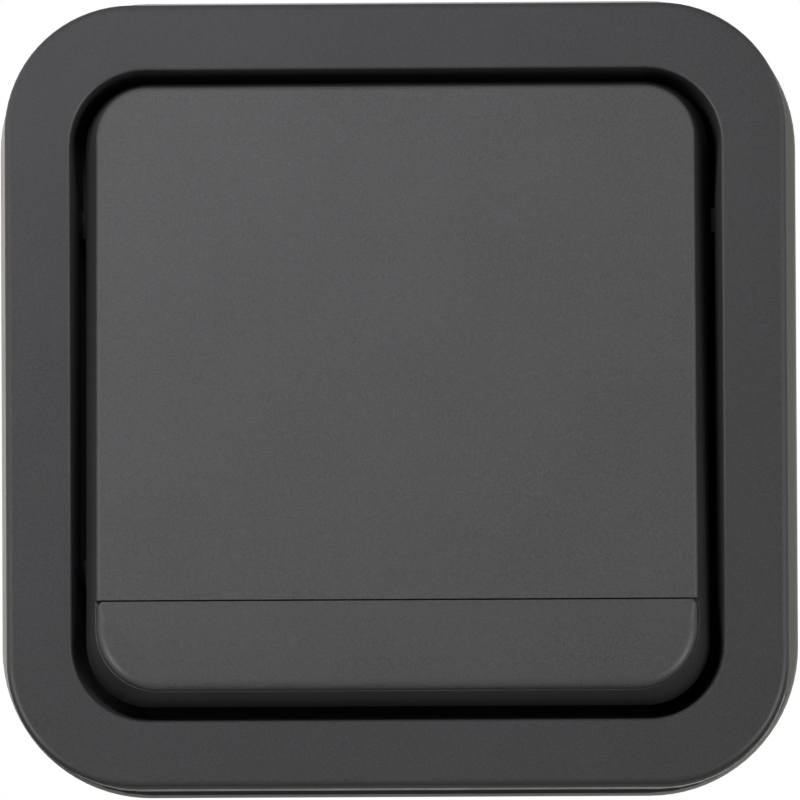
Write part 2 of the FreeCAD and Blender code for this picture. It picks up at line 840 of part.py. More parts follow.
def mechanism_plate():
    """Support plate: side tabs for its screws, and bearings for the actuator."""
    half = base_half + plate_overhang
    tab_end = mechanism_post_x + plate_tab_reach
    body = block(half, half, base_corner_r + plate_overhang, plate_back_z, plate_z)
    tabs = block(tab_end, plate_tab_half_width, plate_window_r, plate_back_z, plate_z)
    bearings = []
    bores = []
    for side in (1, -1):
        low, high = sorted((side * bearing_x, side * (bearing_x + bearing_t)))
        top = axis_z + bearing_top
        bearings.append(prism_along_x([
            (bearing_half_width, plate_z - merge, 0), (bearing_half_width, top, merge),
            (-bearing_half_width, top, merge), (-bearing_half_width, plate_z - merge, 0),
        ], low, high))
        bores.append(rod(trunnion_r + pin_play, V(low, 0, axis_z), ALONG_X, high - low))
        bores.append(rod(mechanism_screw_r + mechanism_hole_play,
                         V(side * mechanism_post_x, 0, plate_back_z), ALONG_Z, plate_t))
    window = block(plate_window_half_x, plate_window_half_y, plate_window_r,
                   plate_back_z, plate_z)
    holes = [rod(base_stake_r + base_stake_play, V(place.x, place.y, plate_back_z),
                 ALONG_Z, plate_t) for place in at_corners(boss_xy, boss_xy)]
    return joined(body, tabs, *bearings).cut([window] + bores + holes)


def mechanism_screws():
    """Two screws that hold the mechanism on its posts in the box."""
    return Part.makeCompound([
        slotted_screw(mechanism_screw_r, mechanism_screw_length, mechanism_screw_head_r,
                      mechanism_screw_head_t, V(side * mechanism_post_x, 0, plate_z), ALONG_Z)
        for side in (1, -1)])


def clamp_places():
    """Side and height along Y of the three cage clamps: the common one, then the others."""
    return [(1, 0), (-1, contact_y), (-1, -contact_y)]


def mechanism_base():
    """Insulating tray with pockets for the clamps, wire holes and staked corner bosses."""
    tray = block(base_half, base_half, base_corner_r, base_back_z, plate_back_z)
    hollow = block(base_inner_half, base_inner_half, base_corner_r - base_wall_t,
                   base_floor_z, plate_back_z)
    added = []
    removed = []
    for place in at_corners(boss_xy, boss_xy):
        foot = V(place.x, place.y, base_floor_z - merge)
        added.append(rod(base_boss_r, foot, ALONG_Z, plate_back_z - foot.z))
        added.append(rod(base_stake_r, foot, ALONG_Z, plate_z + merge / 2 - foot.z))
        added.append(rod(base_stake_head_r, V(place.x, place.y, plate_z), ALONG_Z,
                         base_stake_head_t))
    for side, y in clamp_places():
        for edge in (1, -1):
            rib_y = y + edge * (cage_half_width + pocket_play + pocket_rib_t / 2)
            added.append(bar((side * cage_inner_x, side * (base_inner_half + merge)),
                             (rib_y - pocket_rib_t / 2, rib_y + pocket_rib_t / 2),
                             (base_floor_z - merge, cage_z + cage_height)))
        removed.append(rod(wire_hole_r, V(side * wire_x, y, base_back_z), ALONG_Z,
                           base_floor_t))
        removed.append(rod(terminal_screw_head_r + screw_access_play,
                           V(side * base_inner_half, y, terminal_screw_z),
                           V(side, 0, 0), base_wall_t))
    return joined(tray.cut(hollow), *added).cut(removed)


def in_actuator_pose(shape):
    """Move a piece from the actuator's own frame, axis at the origin, to its rest place."""
    shape.rotate(ORIGIN, ALONG_X, -rest_tilt)
    shape.translate(V(0, 0, axis_z))
    return shape


def actuator():
    """Rocking lever: pad under the membrane, webs, trunnions and the plunger's sleeve."""
    pad_back = actuator_pad_height - actuator_pad_t
    pad = block(actuator_half_width, actuator_wing, plate_window_r, pad_back,
                actuator_pad_height)
    hub_profile = [
        (hub_half_width, -hub_drop, 0),
        (actuator_wing - actuator_pad_t, pad_back + merge, 0),
        (-actuator_wing + actuator_pad_t, pad_back + merge, 0),
        (-hub_half_width, -hub_drop, 0),
    ]
    pieces = [rod(sleeve_r, V(0, 0, pad_back + merge), V(0, 0, -1),
                  pad_back + merge + sleeve_length)]
    for side in (1, -1):
        outer_x = side * actuator_half_width
        low, high = sorted((outer_x, outer_x - side * actuator_web_t))
        pieces.append(prism_along_x(hub_profile, low, high))
        tip_x = side * (bearing_x + bearing_t + pin_overhang)
        pieces.append(rod(trunnion_r, V(outer_x - side * merge, 0, 0), V(side, 0, 0),
                          abs(tip_x - outer_x) + merge))
    pieces.append(bar((-actuator_half_width, actuator_half_width),
                      (-actuator_web_t / 2, actuator_web_t / 2), (-trunnion_r, pad_back + merge)))
    bore = rod(plunger_r + plunger_play, V(0, 0, -sleeve_bore_top), V(0, 0, -1),
               sleeve_length - sleeve_bore_top)
    return in_actuator_pose(joined(pad, *pieces).cut(bore))


def plunger_shoulder():
    """Height of the plunger's shoulder, where its spring sits, in the actuator's frame."""
    return plunger_nose_r - plunger_reach + plunger_body_length


def plunger():
    """Pin with a round nose, a body that slides in the sleeve and a stem for its spring."""
    nose_z = plunger_nose_r - plunger_reach
    nose = Part.makeSphere(plunger_nose_r, V(0, 0, nose_z))
    neck = Part.makeCone(plunger_nose_r, plunger_r, plunger_r - plunger_nose_r + plunger_play,
                         V(0, 0, nose_z))
    body_z = nose_z + plunger_r - plunger_nose_r + plunger_play
    body = rod(plunger_r, V(0, 0, body_z), ALONG_Z, plunger_shoulder() - body_z)
    stem = rod(plunger_stem_r, V(0, 0, plunger_shoulder()), ALONG_Z, plunger_stem_length)
    return in_actuator_pose(joined(nose, neck, body, stem))


def plunger_spring():
    """Compression spring in the plunger's bore, as half turns that lean left and right in turn."""
    low = plunger_shoulder() + spring_wire_r + spring_end_gap
    high = -sleeve_bore_top - spring_wire_r - spring_end_gap
    half_turns = int(2 * spring_turns)
    half_rise = (high - low) / half_turns / 2
    pieces = []
    for i in range(half_turns):
        side = 1 if i % 2 == 0 else -1
        start = V(side * spring_coil_r, 0, low + 2 * i * half_rise)
        middle = V(0, 0, start.z + half_rise)
        section = Part.Face(Part.Wire(Part.Circle(start, ALONG_Y, spring_wire_r).toShape()))
        pieces.append(section.revolve(middle, V(side * half_rise, 0, spring_coil_r), 180))
    return in_actuator_pose(joined(*pieces))


def in_blade_pose(shape):
    """Move a piece from the blade's own frame, knife edge at the origin, to its rest place."""
    shape.rotate(ORIGIN, ALONG_X, rest_tilt)
    shape.translate(V(0, 0, knife_z))
    return shape


def contact_rivet(face, up, carrier_t):
    """Contact with a domed face that stands on a carrier, riveted through it.

    face is where the carrier's surface is, and up points away from it, to the dome.
    """
    cap_r = (contact_r ** 2 + contact_height ** 2) / (2 * contact_height)
    sphere = Part.makeSphere(cap_r, face + up * (contact_height - cap_r))
    dome_cap = sphere.common(rod(contact_r, face, up, contact_height))
    shank = rod(contact_shank_r, face, up * -1, carrier_t)
    head = rod(contact_head_r, face - up * carrier_t, up * -1, contact_head_t)
    return joined(dome_cap, shank, head)


def contact_blade():
    """See-saw blade with a notch for the knife edge and holes for its contacts."""
    half_length = contact_y + blade_end
    low = -blade_notch
    blade = block(blade_half_width, half_length, contact_r, low, low + blade_t)
    depth = blade_notch + notch_play
    wide = depth * math.tan(math.radians(notch_slope))
    notch = prism_along_x([(wide, low, 0), (0, notch_play, 0), (-wide, low, 0)],
                          -blade_half_width, blade_half_width)
    holes = [rod(contact_shank_r + contact_play, V(0, side * contact_y, low), ALONG_Z, blade_t)
             for side in (1, -1)]
    return in_blade_pose(blade.cut([notch] + holes))


def blade_contacts():
    """The two contacts under the ends of the blade."""
    return in_blade_pose(Part.makeCompound([
        contact_rivet(V(0, side * contact_y, -blade_notch), V(0, 0, -1), blade_t)
        for side in (1, -1)]))


def fixed_contacts():
    """The two contacts on the shelves of the terminals."""
    return Part.makeCompound([
        contact_rivet(V(0, side * contact_y, terminal_shelf_z), ALONG_Z, terminal_t)
        for side in (1, -1)])


def bent_strip(path, middle_y):
    """Flat strip bent along a line of (x, z) places, with its width along Y."""
    def offset(side):
        points = []
        for i, (x, z) in enumerate(path):
            here = V(x, z, 0)
            back = (here - V(*path[i - 1], 0)).normalize() if i > 0 else None
            ahead = (V(*path[i + 1], 0) - here).normalize() if i < len(path) - 1 else back
            back = back or ahead
            normal = V(-back.y - ahead.y, back.x + ahead.x, 0).normalize()
            stretch = 1 / math.cos(back.getAngle(ahead) / 2)
            turn = back.x * ahead.y - back.y * ahead.x
            radius = terminal_bend_r if turn * side > 0 else terminal_bend_r + terminal_t
            place = here + normal * (side * stretch * terminal_t / 2)
            points.append((place.x, place.y, radius if abs(turn) > 0.5 else 0))
        return points

    corners = offset(1) + offset(-1)[::-1]
    wire = outline(corners, V(0, middle_y - terminal_half_width, 0), ALONG_X, ALONG_Z)
    return Part.Face(wire).extrude(V(0, 2 * terminal_half_width, 0))


def tongue_path(side):
    """Way of a strip along the tray's floor and up into its cage clamp."""
    floor_mid = base_floor_z + terminal_t / 2
    tongue_mid = side * (tongue_x + terminal_t / 2)
    return [(tongue_mid, floor_mid), (tongue_mid, cage_z + tongue_height)]


def common_terminal():
    """Strip with an upright knife edge that the blade rocks on."""
    floor_mid = base_floor_z + terminal_t / 2
    strip = bent_strip([(-blade_half_width, floor_mid)] + tongue_path(1), 0)
    knife = prism_along_x([
        (knife_t / 2, base_floor_z, 0),
        (knife_t / 2, knife_z - knife_point, 0),
        (0, knife_z, 0),
        (-knife_t / 2, knife_z - knife_point, 0),
        (-knife_t / 2, base_floor_z, 0),
    ], -blade_half_width, blade_half_width)
    return joined(strip, knife)


def side_terminal(side):
    """Strip that carries one fixed contact on a raised shelf."""
    floor_mid = base_floor_z + terminal_t / 2
    shelf_mid = terminal_shelf_z - terminal_t / 2
    path = [(terminal_shelf, shelf_mid), (-terminal_shelf - terminal_t, shelf_mid),
            (-terminal_shelf - terminal_t, floor_mid)] + tongue_path(-1)
    hole = rod(contact_shank_r + contact_play,
               V(0, side * contact_y, terminal_shelf_z - terminal_t), ALONG_Z, terminal_t)
    return bent_strip(path, side * contact_y).cut(hole)


def terminal_clamps():
    """Three cages, each a short tube around the wire and the terminal's tongue."""
    cages = []
    for side, y in clamp_places():
        outer = bar((side * cage_inner_x, side * cage_outer_x),
                    (y - cage_half_width, y + cage_half_width), (cage_z, cage_z + cage_height))
        window_half = cage_half_width - cage_wall_t
        window = bar((side * cage_window_x, side * (cage_outer_x - cage_nut_t)),
                     (y - window_half, y + window_half), (cage_z, cage_z + cage_height))
        hole = rod(terminal_screw_r + screw_core_play,
                   V(side * cage_outer_x, y, terminal_screw_z), V(-side, 0, 0), cage_nut_t)
        cages.append(outer.cut([window, hole]))
    return Part.makeCompound(cages)


def terminal_screws():
    """Three screws that press the wires onto the tongues."""
    return Part.makeCompound([
        slotted_screw(terminal_screw_r, terminal_screw_length, terminal_screw_head_r,
                      terminal_screw_head_t, V(side * cage_outer_x, y, terminal_screw_z),
                      V(side, 0, 0)) for side, y in clamp_places()])


def build_all():
    """Every node of the switch, by name, on the bench."""
    return {
        "back_box": back_box(),
        "box_gasket": box_gasket(),
        "cover_frame": cover_frame(),
        "cover_screws": cover_screws(),
        "screw_seals": screw_seals(),
        "top_grommet": grommet(1),
        "bottom_grommet": grommet(-1),
        "membrane": membrane(),
        "membrane_clamp": membrane_clamp(),
        "rocker": rocker(),
        "rocker_strip": rocker_strip(),
        "mechanism_plate": mechanism_plate(),
        "mechanism_screws": mechanism_screws(),
        "mechanism_base": mechanism_base(),
        "actuator": actuator(),
        "plunger": plunger(),
        "plunger_spring": plunger_spring(),
        "contact_blade": contact_blade(),
        "blade_contacts": blade_contacts(),
        "common_terminal": common_terminal(),
        "terminal_one": side_terminal(-1),
        "terminal_two": side_terminal(1),
        "fixed_contacts": fixed_contacts(),
        "terminal_clamps": terminal_clamps(),
        "terminal_screws": terminal_screws(),
    }


os.makedirs("parts", exist_ok=True)
for name, shape in build_all().items():
    shape.rotate(ORIGIN, ALONG_X, 90)
    shape.exportStep(f"parts/{name}.step")
    print(f"{name}: {len(shape.Solids)} solids, {shape.Volume:.1f} mm3, valid {shape.isValid()}")
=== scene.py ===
"""Looks of an outdoor weatherproof rocker switch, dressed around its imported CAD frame.

The switch hangs on a wall: its back is the plane y = 0, its front faces -Y and Z is up. All
lengths are in metres. Each finish is a small frozen dataclass that makes one material, and each
sub-assembly is a class that builds or dresses its own pieces.
"""

from __future__ import annotations

import logging
import math
from dataclasses import dataclass, field
from enum import Enum

import bmesh
import bpy
from mathutils import Matrix, Vector

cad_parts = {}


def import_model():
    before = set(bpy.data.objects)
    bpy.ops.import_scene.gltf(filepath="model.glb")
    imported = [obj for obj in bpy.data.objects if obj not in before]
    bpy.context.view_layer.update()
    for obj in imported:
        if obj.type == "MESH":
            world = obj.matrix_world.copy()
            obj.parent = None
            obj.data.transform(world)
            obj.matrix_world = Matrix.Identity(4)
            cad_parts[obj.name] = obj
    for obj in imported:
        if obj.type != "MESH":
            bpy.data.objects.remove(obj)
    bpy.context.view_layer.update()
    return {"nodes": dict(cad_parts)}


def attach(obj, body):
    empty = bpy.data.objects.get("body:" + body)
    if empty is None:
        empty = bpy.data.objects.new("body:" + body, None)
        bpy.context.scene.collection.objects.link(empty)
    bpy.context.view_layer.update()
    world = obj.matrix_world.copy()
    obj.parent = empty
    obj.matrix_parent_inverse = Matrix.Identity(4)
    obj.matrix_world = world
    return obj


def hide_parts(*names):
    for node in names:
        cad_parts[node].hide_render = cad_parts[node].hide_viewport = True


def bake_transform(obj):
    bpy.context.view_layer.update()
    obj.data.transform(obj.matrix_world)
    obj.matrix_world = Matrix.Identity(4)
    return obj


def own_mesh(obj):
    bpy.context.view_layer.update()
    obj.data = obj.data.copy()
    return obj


LOG = logging.getLogger("switch")
SENSOR_WIDTH = 36.0
SHARP_ANGLE = math.radians(40.0)
MERGE_DISTANCE = 1e-7
TOLERANCE = 1e-5
REST_TILT = 4.5
ACTUATOR_AXIS = 0.031
UP_AXIS = 2
FLAT_WEIGHT = 100
# Sockets of a colour Mix node. Their names repeat for each data type, so they go by number.
MIX_FACTOR = 0
MIX_COLOURS = (6, 7)
MIX_RESULT = 2
Rgb = tuple[float, float, float]
Span = tuple[float, float]
NOISE_SPAN: Span = (0.3, 0.7)


class Body(Enum):
    """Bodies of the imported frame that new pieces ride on."""

    HOUSING = "housing"
    ROCKER = "rocker"
    ACTUATOR = "actuator"


class Slot(Enum):
    """Material slots of the record, passed along with the new pieces."""

    HOUSING_PLASTIC = "housing_plastic"
    STRIP_PLASTIC = "strip_plastic"
    SEAL_RUBBER = "seal_rubber"
    SPRING_STEEL = "spring_steel"


class End(Enum):
    """The two ends of the box, by the sign of their height."""

    TOP = 1
    BOTTOM = -1


class Side(Enum):
    """Sides of the boot's fold: the axis that each one crosses, and its sign."""

    TOP = (2, 1)
    BOTTOM = (2, -1)
    RIGHT = (0, 1)
    LEFT = (0, -1)


class NodeGraph:
    """Short way to add and link the nodes of one material or world."""

    def __init__(self, tree: bpy.types.NodeTree) -> None:
        """Start an empty graph.

        Args:
            tree: The node tree to fill. Its nodes are removed first.
        """
        self.tree = tree
        tree.nodes.clear()

    def add(self, kind: str, **settings: object) -> bpy.types.Node:
        """Add one node.

        Args:
            kind: Blender's name of the node type.
            settings: Properties to set on the node.

        Returns:
            The new node.
        """
        node = self.tree.nodes.new(kind)
        for name, value in settings.items():
            setattr(node, name, value)
        return node

    def feed(self, socket: bpy.types.NodeSocket, value: object) -> None:
        """Give an input its value.

        Args:
            socket: The input.
            value: An output to link to it, or a constant.
        """
        if isinstance(value, bpy.types.NodeSocket):
            self.tree.links.new(value, socket)
        else:
            socket.default_value = value

    def math(self, operation: str, first: object, second: object) -> bpy.types.NodeSocket:
        """Add a Math node.

        Args:
            operation: The operation's name.
            first: An output or a number.
            second: An output or a number.

        Returns:
            The node's output.
        """
        node = self.add("ShaderNodeMath", operation=operation)
        for socket, value in zip(node.inputs, (first, second)):
            self.feed(socket, value)
        return node.outputs[0]

    def coordinates(self) -> bpy.types.NodeSocket:
        """Object coordinates, from one node for the whole graph.

        Returns:
            The coordinates.
        """
        for node in self.tree.nodes:
            if node.bl_idname == "ShaderNodeTexCoord":
                return node.outputs["Object"]
        return self.add("ShaderNodeTexCoord").outputs["Object"]

    def noise(self, scale: float, detail: float, roughness: float = 0.5,
              where: bpy.types.NodeSocket | None = None) -> bpy.types.NodeSocket:
        """Noise, on Object coordinates unless others are given.

        Args:
            scale: Waves to the metre.
            detail: Number of finer octaves.
            roughness: How strong the finer octaves are.
            where: Other coordinates.

        Returns:
            The noise value, about 0.5 on average.
        """
        node = self.add("ShaderNodeTexNoise")
        self.feed(node.inputs["Scale"], scale)
        self.feed(node.inputs["Detail"], detail)
        self.feed(node.inputs["Roughness"], roughness)
        self.feed(node.inputs["Vector"], self.coordinates() if where is None else where)
        return node.outputs[0]

    def spread(self, value: bpy.types.NodeSocket, source: Span,
               result: Span = (0.0, 1.0)) -> bpy.types.NodeSocket:
        """Map a range of values to another, clamped.

        Args:
            value: The value to map.
            source: Its values that become the ends of the result.
            result: Both ends of the result.

        Returns:
            The mapped value.
        """
        node = self.add("ShaderNodeMapRange", clamp=True)
        self.feed(node.inputs["Value"], value)
        for name, number in zip(("From Min", "From Max", "To Min", "To Max"), source + result):
            self.feed(node.inputs[name], number)
        return node.outputs[0]

    def blend(self, factor: bpy.types.NodeSocket, first: object,
              second: object) -> bpy.types.NodeSocket:
        """Mix two colours.

        Args:
            factor: Share of the second colour.
            first: A colour, or an output.
            second: A colour, or an output.

        Returns:
            The mixed colour.
        """
        node = self.add("ShaderNodeMix", data_type="RGBA")
        self.feed(node.inputs[MIX_FACTOR], factor)
        for index, colour in zip(MIX_COLOURS, (first, second)):
            value = (*colour, 1.0) if isinstance(colour, tuple) else colour
            self.feed(node.inputs[index], value)
        return node.outputs[MIX_RESULT]

    def bump(self, height: bpy.types.NodeSocket, strength: float, distance: float,
             under: bpy.types.NodeSocket | None = None) -> bpy.types.NodeSocket:
        """Turn a height into a bent normal.

        Args:
            height: Height, 0 to 1.
            strength: Share of the bump that shows.
            distance: Depth of the relief in metres.
            under: Another bent normal to build on.

        Returns:
            The bent normal.
        """
        node = self.add("ShaderNodeBump")
        self.feed(node.inputs["Strength"], strength)
        self.feed(node.inputs["Distance"], distance)
        self.feed(node.inputs["Height"], height)
        if under is not None:
            self.feed(node.inputs["Normal"], under)
        return node.outputs[0]

    def shader(self, **constants: float) -> bpy.types.Node:
        """Principled shader joined to the material's output.

        Args:
            constants: Values of its sockets, with spaces written as underscores.

        Returns:
            The shader node.
        """
        node = self.add("ShaderNodeBsdfPrincipled")
        for name, value in constants.items():
            self.feed(node.inputs[name.replace("_", " ")], value)
        output = self.add("ShaderNodeOutputMaterial")
        self.feed(output.inputs["Surface"], node.outputs[0])
        return node


def new_material(name: str) -> tuple[bpy.types.Material, NodeGraph]:
    """Start an empty material.

    Args:
        name: Its name.

    Returns:
        The material, and the graph that fills it.
    """
    material = bpy.data.materials.new(name)
    material.use_nodes = True
    return material, NodeGraph(material.node_tree)


def lighter(colour: Rgb, share: float) -> Rgb:
    """Make a colour lighter by a share of itself.

    Args:
        colour: The colour.
        share: The share, negative to make it darker.

    Returns:
        The new colour.
    """
    return tuple(min(1.0, c * (1.0 + share)) for c in colour)


@dataclass(frozen=True)
class MouldedPlastic:
    """Matt moulded plastic with a fine spark-eroded grain.

    Waves count to the metre and depths are in metres, here and in the other finishes.
    """

    name: str
    colour: Rgb
    roughness: float = 0.45
    roughness_swing: Span = (-0.04, 0.05)
    specular: float = 0.5
    cloud_waves: float = 90.0
    mottle: float = 0.05
    grain_waves: float = 6400.0
    grain_strength: float = 0.22
    grain_depth: float = 0.000012
    speckle: float = 0.42
    speckle_gain: float = 0.9
    speckle_span: Span = (0.4, 0.6)
    bead_size: float = 3.2
    bead_reach: float = 0.16
    bead_share: float = 0.8
    ripple_waves: float = 160.0
    ripple_strength: float = 0.06
    ripple_depth: float = 0.0001

    def make(self) -> bpy.types.Material:
        """Build the material.

        Returns:
            The material, ready to assign.
        """
        material, graph = new_material(self.name)
        shader = graph.shader(Specular_IOR_Level=self.specular)
        cloud = graph.spread(graph.noise(self.cloud_waves, detail=3.0), NOISE_SPAN)
        colour = graph.blend(cloud, lighter(self.colour, -self.mottle),
                             lighter(self.colour, self.mottle))
        grain = graph.noise(self.grain_waves, detail=4.0, roughness=0.62)
        pits = graph.math("MULTIPLY", graph.spread(grain, self.speckle_span), self.speckle)
        colour = graph.blend(pits, colour, lighter(self.colour, self.speckle_gain))
        graph.feed(shader.inputs["Base Color"], colour)
        graph.feed(shader.inputs["Normal"], self.relief(graph, grain))
        low, high = self.roughness_swing
        polish = graph.spread(grain, NOISE_SPAN, (self.roughness + low, self.roughness + high))
        graph.feed(shader.inputs["Roughness"], polish)
        return material

    def relief(self, graph: NodeGraph, grain: bpy.types.NodeSocket) -> bpy.types.NodeSocket:
        """Build the grain, the round beads in it and the slow ripple of the surface.

        Args:
            graph: The material's graph.
            grain: The grain's noise.

        Returns:
            The bent normal.
        """
        cells = graph.add("ShaderNodeTexVoronoi", feature="F1")
        graph.feed(cells.inputs["Scale"], self.grain_waves / self.bead_size)
        graph.feed(cells.inputs["Vector"], graph.coordinates())
        beads = graph.spread(cells.outputs["Distance"], (0.0, self.bead_reach), (1.0, 0.0))
        relief = graph.bump(grain, self.grain_strength, self.grain_depth)
        relief = graph.bump(beads, self.grain_strength * self.bead_share, self.grain_depth, relief)
        ripple = graph.noise(self.ripple_waves, detail=2.0)
        return graph.bump(ripple, self.ripple_strength, self.ripple_depth, relief)


@dataclass(frozen=True)
class MouldedRubber:
    """Soft rubber with a dull, dusty bloom in random patches."""

    name: str
    colour: Rgb
    roughness: float = 0.72
    roughness_rise: float = 0.12
    specular: float = 0.35
    bloom_waves: float = 240.0
    bloom_span: Span = (0.42, 0.68)
    bloom_most: float = 0.5
    bloom_gain: float = 0.8
    grain_waves: float = 3600.0
    grain_strength: float = 0.3
    grain_depth: float = 0.00001

    def make(self) -> bpy.types.Material:
        """Build the material.

        Returns:
            The material, ready to assign.
        """
        material, graph = new_material(self.name)
        shader = graph.shader(Specular_IOR_Level=self.specular, Sheen_Weight=0.12,
                              Sheen_Roughness=0.5)
        haze = graph.noise(self.bloom_waves, detail=4.0, roughness=0.6)
        bloom = graph.spread(haze, self.bloom_span, (0.0, self.bloom_most))
        colour = graph.blend(bloom, self.colour, lighter(self.colour, self.bloom_gain))
        graph.feed(shader.inputs["Base Color"], colour)
        grain = graph.noise(self.grain_waves, detail=3.0)
        graph.feed(shader.inputs["Normal"],
                   graph.bump(grain, self.grain_strength, self.grain_depth))
        graph.feed(shader.inputs["Roughness"],
                   graph.spread(bloom, (0.0, self.bloom_most),
                                (self.roughness, self.roughness + self.roughness_rise)))
        return material


@dataclass(frozen=True)
class WorkedMetal:
    """Plated or rolled metal with fine draw lines and faint tarnish."""

    name: str
    colour: Rgb
    roughness: float = 0.3
    roughness_rise: float = 0.25
    tarnish: Rgb = (0.2, 0.18, 0.16)
    tarnish_share: float = 0.15
    tarnish_waves: float = 420.0
    tarnish_span: Span = (0.48, 0.78)
    line_axis: int = 0
    across_waves: float = 9000.0
    along_waves: float = 500.0
    line_strength: float = 0.25
    line_depth: float = 0.000006

    def make(self) -> bpy.types.Material:
        """Build the material.

        Returns:
            The material, ready to assign.
        """
        material, graph = new_material(self.name)
        shader = graph.shader(Metallic=1.0)
        haze = graph.noise(self.tarnish_waves, detail=5.0, roughness=0.6)
        stain = graph.spread(haze, self.tarnish_span, (0.0, self.tarnish_share))
        graph.feed(shader.inputs["Base Color"], graph.blend(stain, self.colour, self.tarnish))

        waves = [self.across_waves] * 3
        waves[self.line_axis] = self.along_waves
        mapping = graph.add("ShaderNodeMapping")
        graph.feed(mapping.inputs["Scale"], waves)
        graph.feed(mapping.inputs["Vector"], graph.coordinates())
        lines = graph.noise(1.0, detail=2.0, where=mapping.outputs[0])
        graph.feed(shader.inputs["Normal"],
                   graph.bump(lines, self.line_strength, self.line_depth))
        graph.feed(shader.inputs["Roughness"],
                   graph.spread(stain, (0.0, self.tarnish_share),
                                (self.roughness, self.roughness + self.roughness_rise)))
        return material


@dataclass(frozen=True)
class PaleFloor:
    """Matt off-white floor with a faint cloudiness."""

    name: str = "pale_floor"
    dull: Rgb = (0.86, 0.86, 0.86)
    clean: Rgb = (0.9, 0.9, 0.9)
    roughness: float = 0.8
    specular: float = 0.1
    cloud_waves: float = 3.0

    def make(self) -> bpy.types.Material:
        """Build the material.

        Returns:
            The material, ready to assign.
        """
        material, graph = new_material(self.name)
        shader = graph.shader(Roughness=self.roughness, Specular_IOR_Level=self.specular)
        cloud = graph.spread(graph.noise(self.cloud_waves, detail=3.0), NOISE_SPAN)
        graph.feed(shader.inputs["Base Color"], graph.blend(cloud, self.dull, self.clean))
        return material


COVER_GREY: Rgb = (0.0365, 0.0361, 0.0382)
# The rocker's grey is made lighter than the cover's to paint the light that falls on its
# upward-tilted face.
LIT_ROCKER_GREY: Rgb = (0.0535, 0.0535, 0.0556)
STRIP_GREY: Rgb = (0.0505, 0.05, 0.051)
BOX_GREY: Rgb = (0.37, 0.364, 0.342)

FINISHES = {
    "cover": MouldedPlastic("cover_plastic", COVER_GREY),
    "rocker": MouldedPlastic("rocker_plastic", LIT_ROCKER_GREY),
    "strip": MouldedPlastic("strip_plastic", STRIP_GREY),
    "box": MouldedPlastic("box_plastic", BOX_GREY, roughness=0.5, speckle=0.1),
    "clamp": MouldedPlastic("clamp_plastic", (0.05, 0.05, 0.052), roughness=0.5, speckle=0.08),
    "mechanism": MouldedPlastic("mechanism_plastic", (0.62, 0.62, 0.6), roughness=0.48,
                                speckle=0.05),
    "actuator": MouldedPlastic("actuator_plastic", (0.8, 0.79, 0.75), roughness=0.35,
                               speckle=0.03),
    "seal": MouldedRubber("seal_rubber", (0.03, 0.03, 0.031)),
    # Pale rubber of the painted highlight under the cover's lip.
    "painted_highlight": MouldedRubber("painted_highlight_rubber", (0.62, 0.62, 0.6), roughness=0.6),
    "screw": WorkedMetal("screw_steel", (0.62, 0.62, 0.6), roughness=0.32, line_axis=2),
    "spring": WorkedMetal("spring_steel", (0.5, 0.5, 0.51), roughness=0.25),
    "brass": WorkedMetal("terminal_brass", (0.8, 0.58, 0.27), roughness=0.28,
                         tarnish=(0.35, 0.2, 0.08)),
    "silver": WorkedMetal("contact_silver", (0.88, 0.87, 0.83), roughness=0.22),
}

CAD_FINISHES = {
    "cover": ("cover_frame",),
    "rocker": ("rocker",),
    "strip": ("rocker_strip",),
    "box": ("back_box",),
    "clamp": ("membrane_clamp",),
    "mechanism": ("mechanism_plate", "mechanism_base"),
    "actuator": ("actuator", "plunger"),
    "seal": ("box_gasket", "screw_seals", "membrane", "top_grommet", "bottom_grommet"),
    "screw": ("cover_screws", "mechanism_screws", "terminal_clamps", "terminal_screws"),
    "spring": ("plunger_spring",),
    "brass": ("common_terminal", "terminal_one", "terminal_two", "contact_blade"),
    "silver": ("blade_contacts", "fixed_contacts"),
}


@dataclass
class FrameDress:
    """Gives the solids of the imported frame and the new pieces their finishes."""

    nodes: dict[str, bpy.types.Object]
    materials: dict[str, bpy.types.Material] = field(default_factory=dict)

    def material(self, key: str) -> bpy.types.Material:
        """The material of a finish, made once.

        Args:
            key: Name of the finish in FINISHES.

        Returns:
            The material.
        """
        if key not in self.materials:
            self.materials[key] = FINISHES[key].make()
        return self.materials[key]

    def dress(self) -> None:
        """Assign the finishes to the solids."""
        for key, names in CAD_FINISHES.items():
            for name in names:
                mesh = self.nodes[name].data
                mesh.materials.clear()
                mesh.materials.append(self.material(key))
                LOG.info("%s wears %s", name, key)

    def piece(self, mesh: bmesh.types.BMesh, name: str, finish: str, slot: Slot,
              flat: bool = False) -> bpy.types.Object:
        """Turn a shape into a smooth piece with its finish.

        Args:
            mesh: Its shape.
            name: Its name.
            finish: Name of its finish in FINISHES.
            slot: The record's material slot; not used.
            flat: Whether its large faces set the normals, so that they stay flat.

        Returns:
            The piece, without a body yet.
        """
        piece = finished(mesh, name, self.material(finish), smooth=True)
        if flat:
            modifier = piece.modifiers.new("weighted_normals", "WEIGHTED_NORMAL")
            modifier.mode = "FACE_AREA"
            modifier.weight = FLAT_WEIGHT
            modifier.keep_sharp = True
        LOG.info("%s wears %s", name, finish)
        return piece


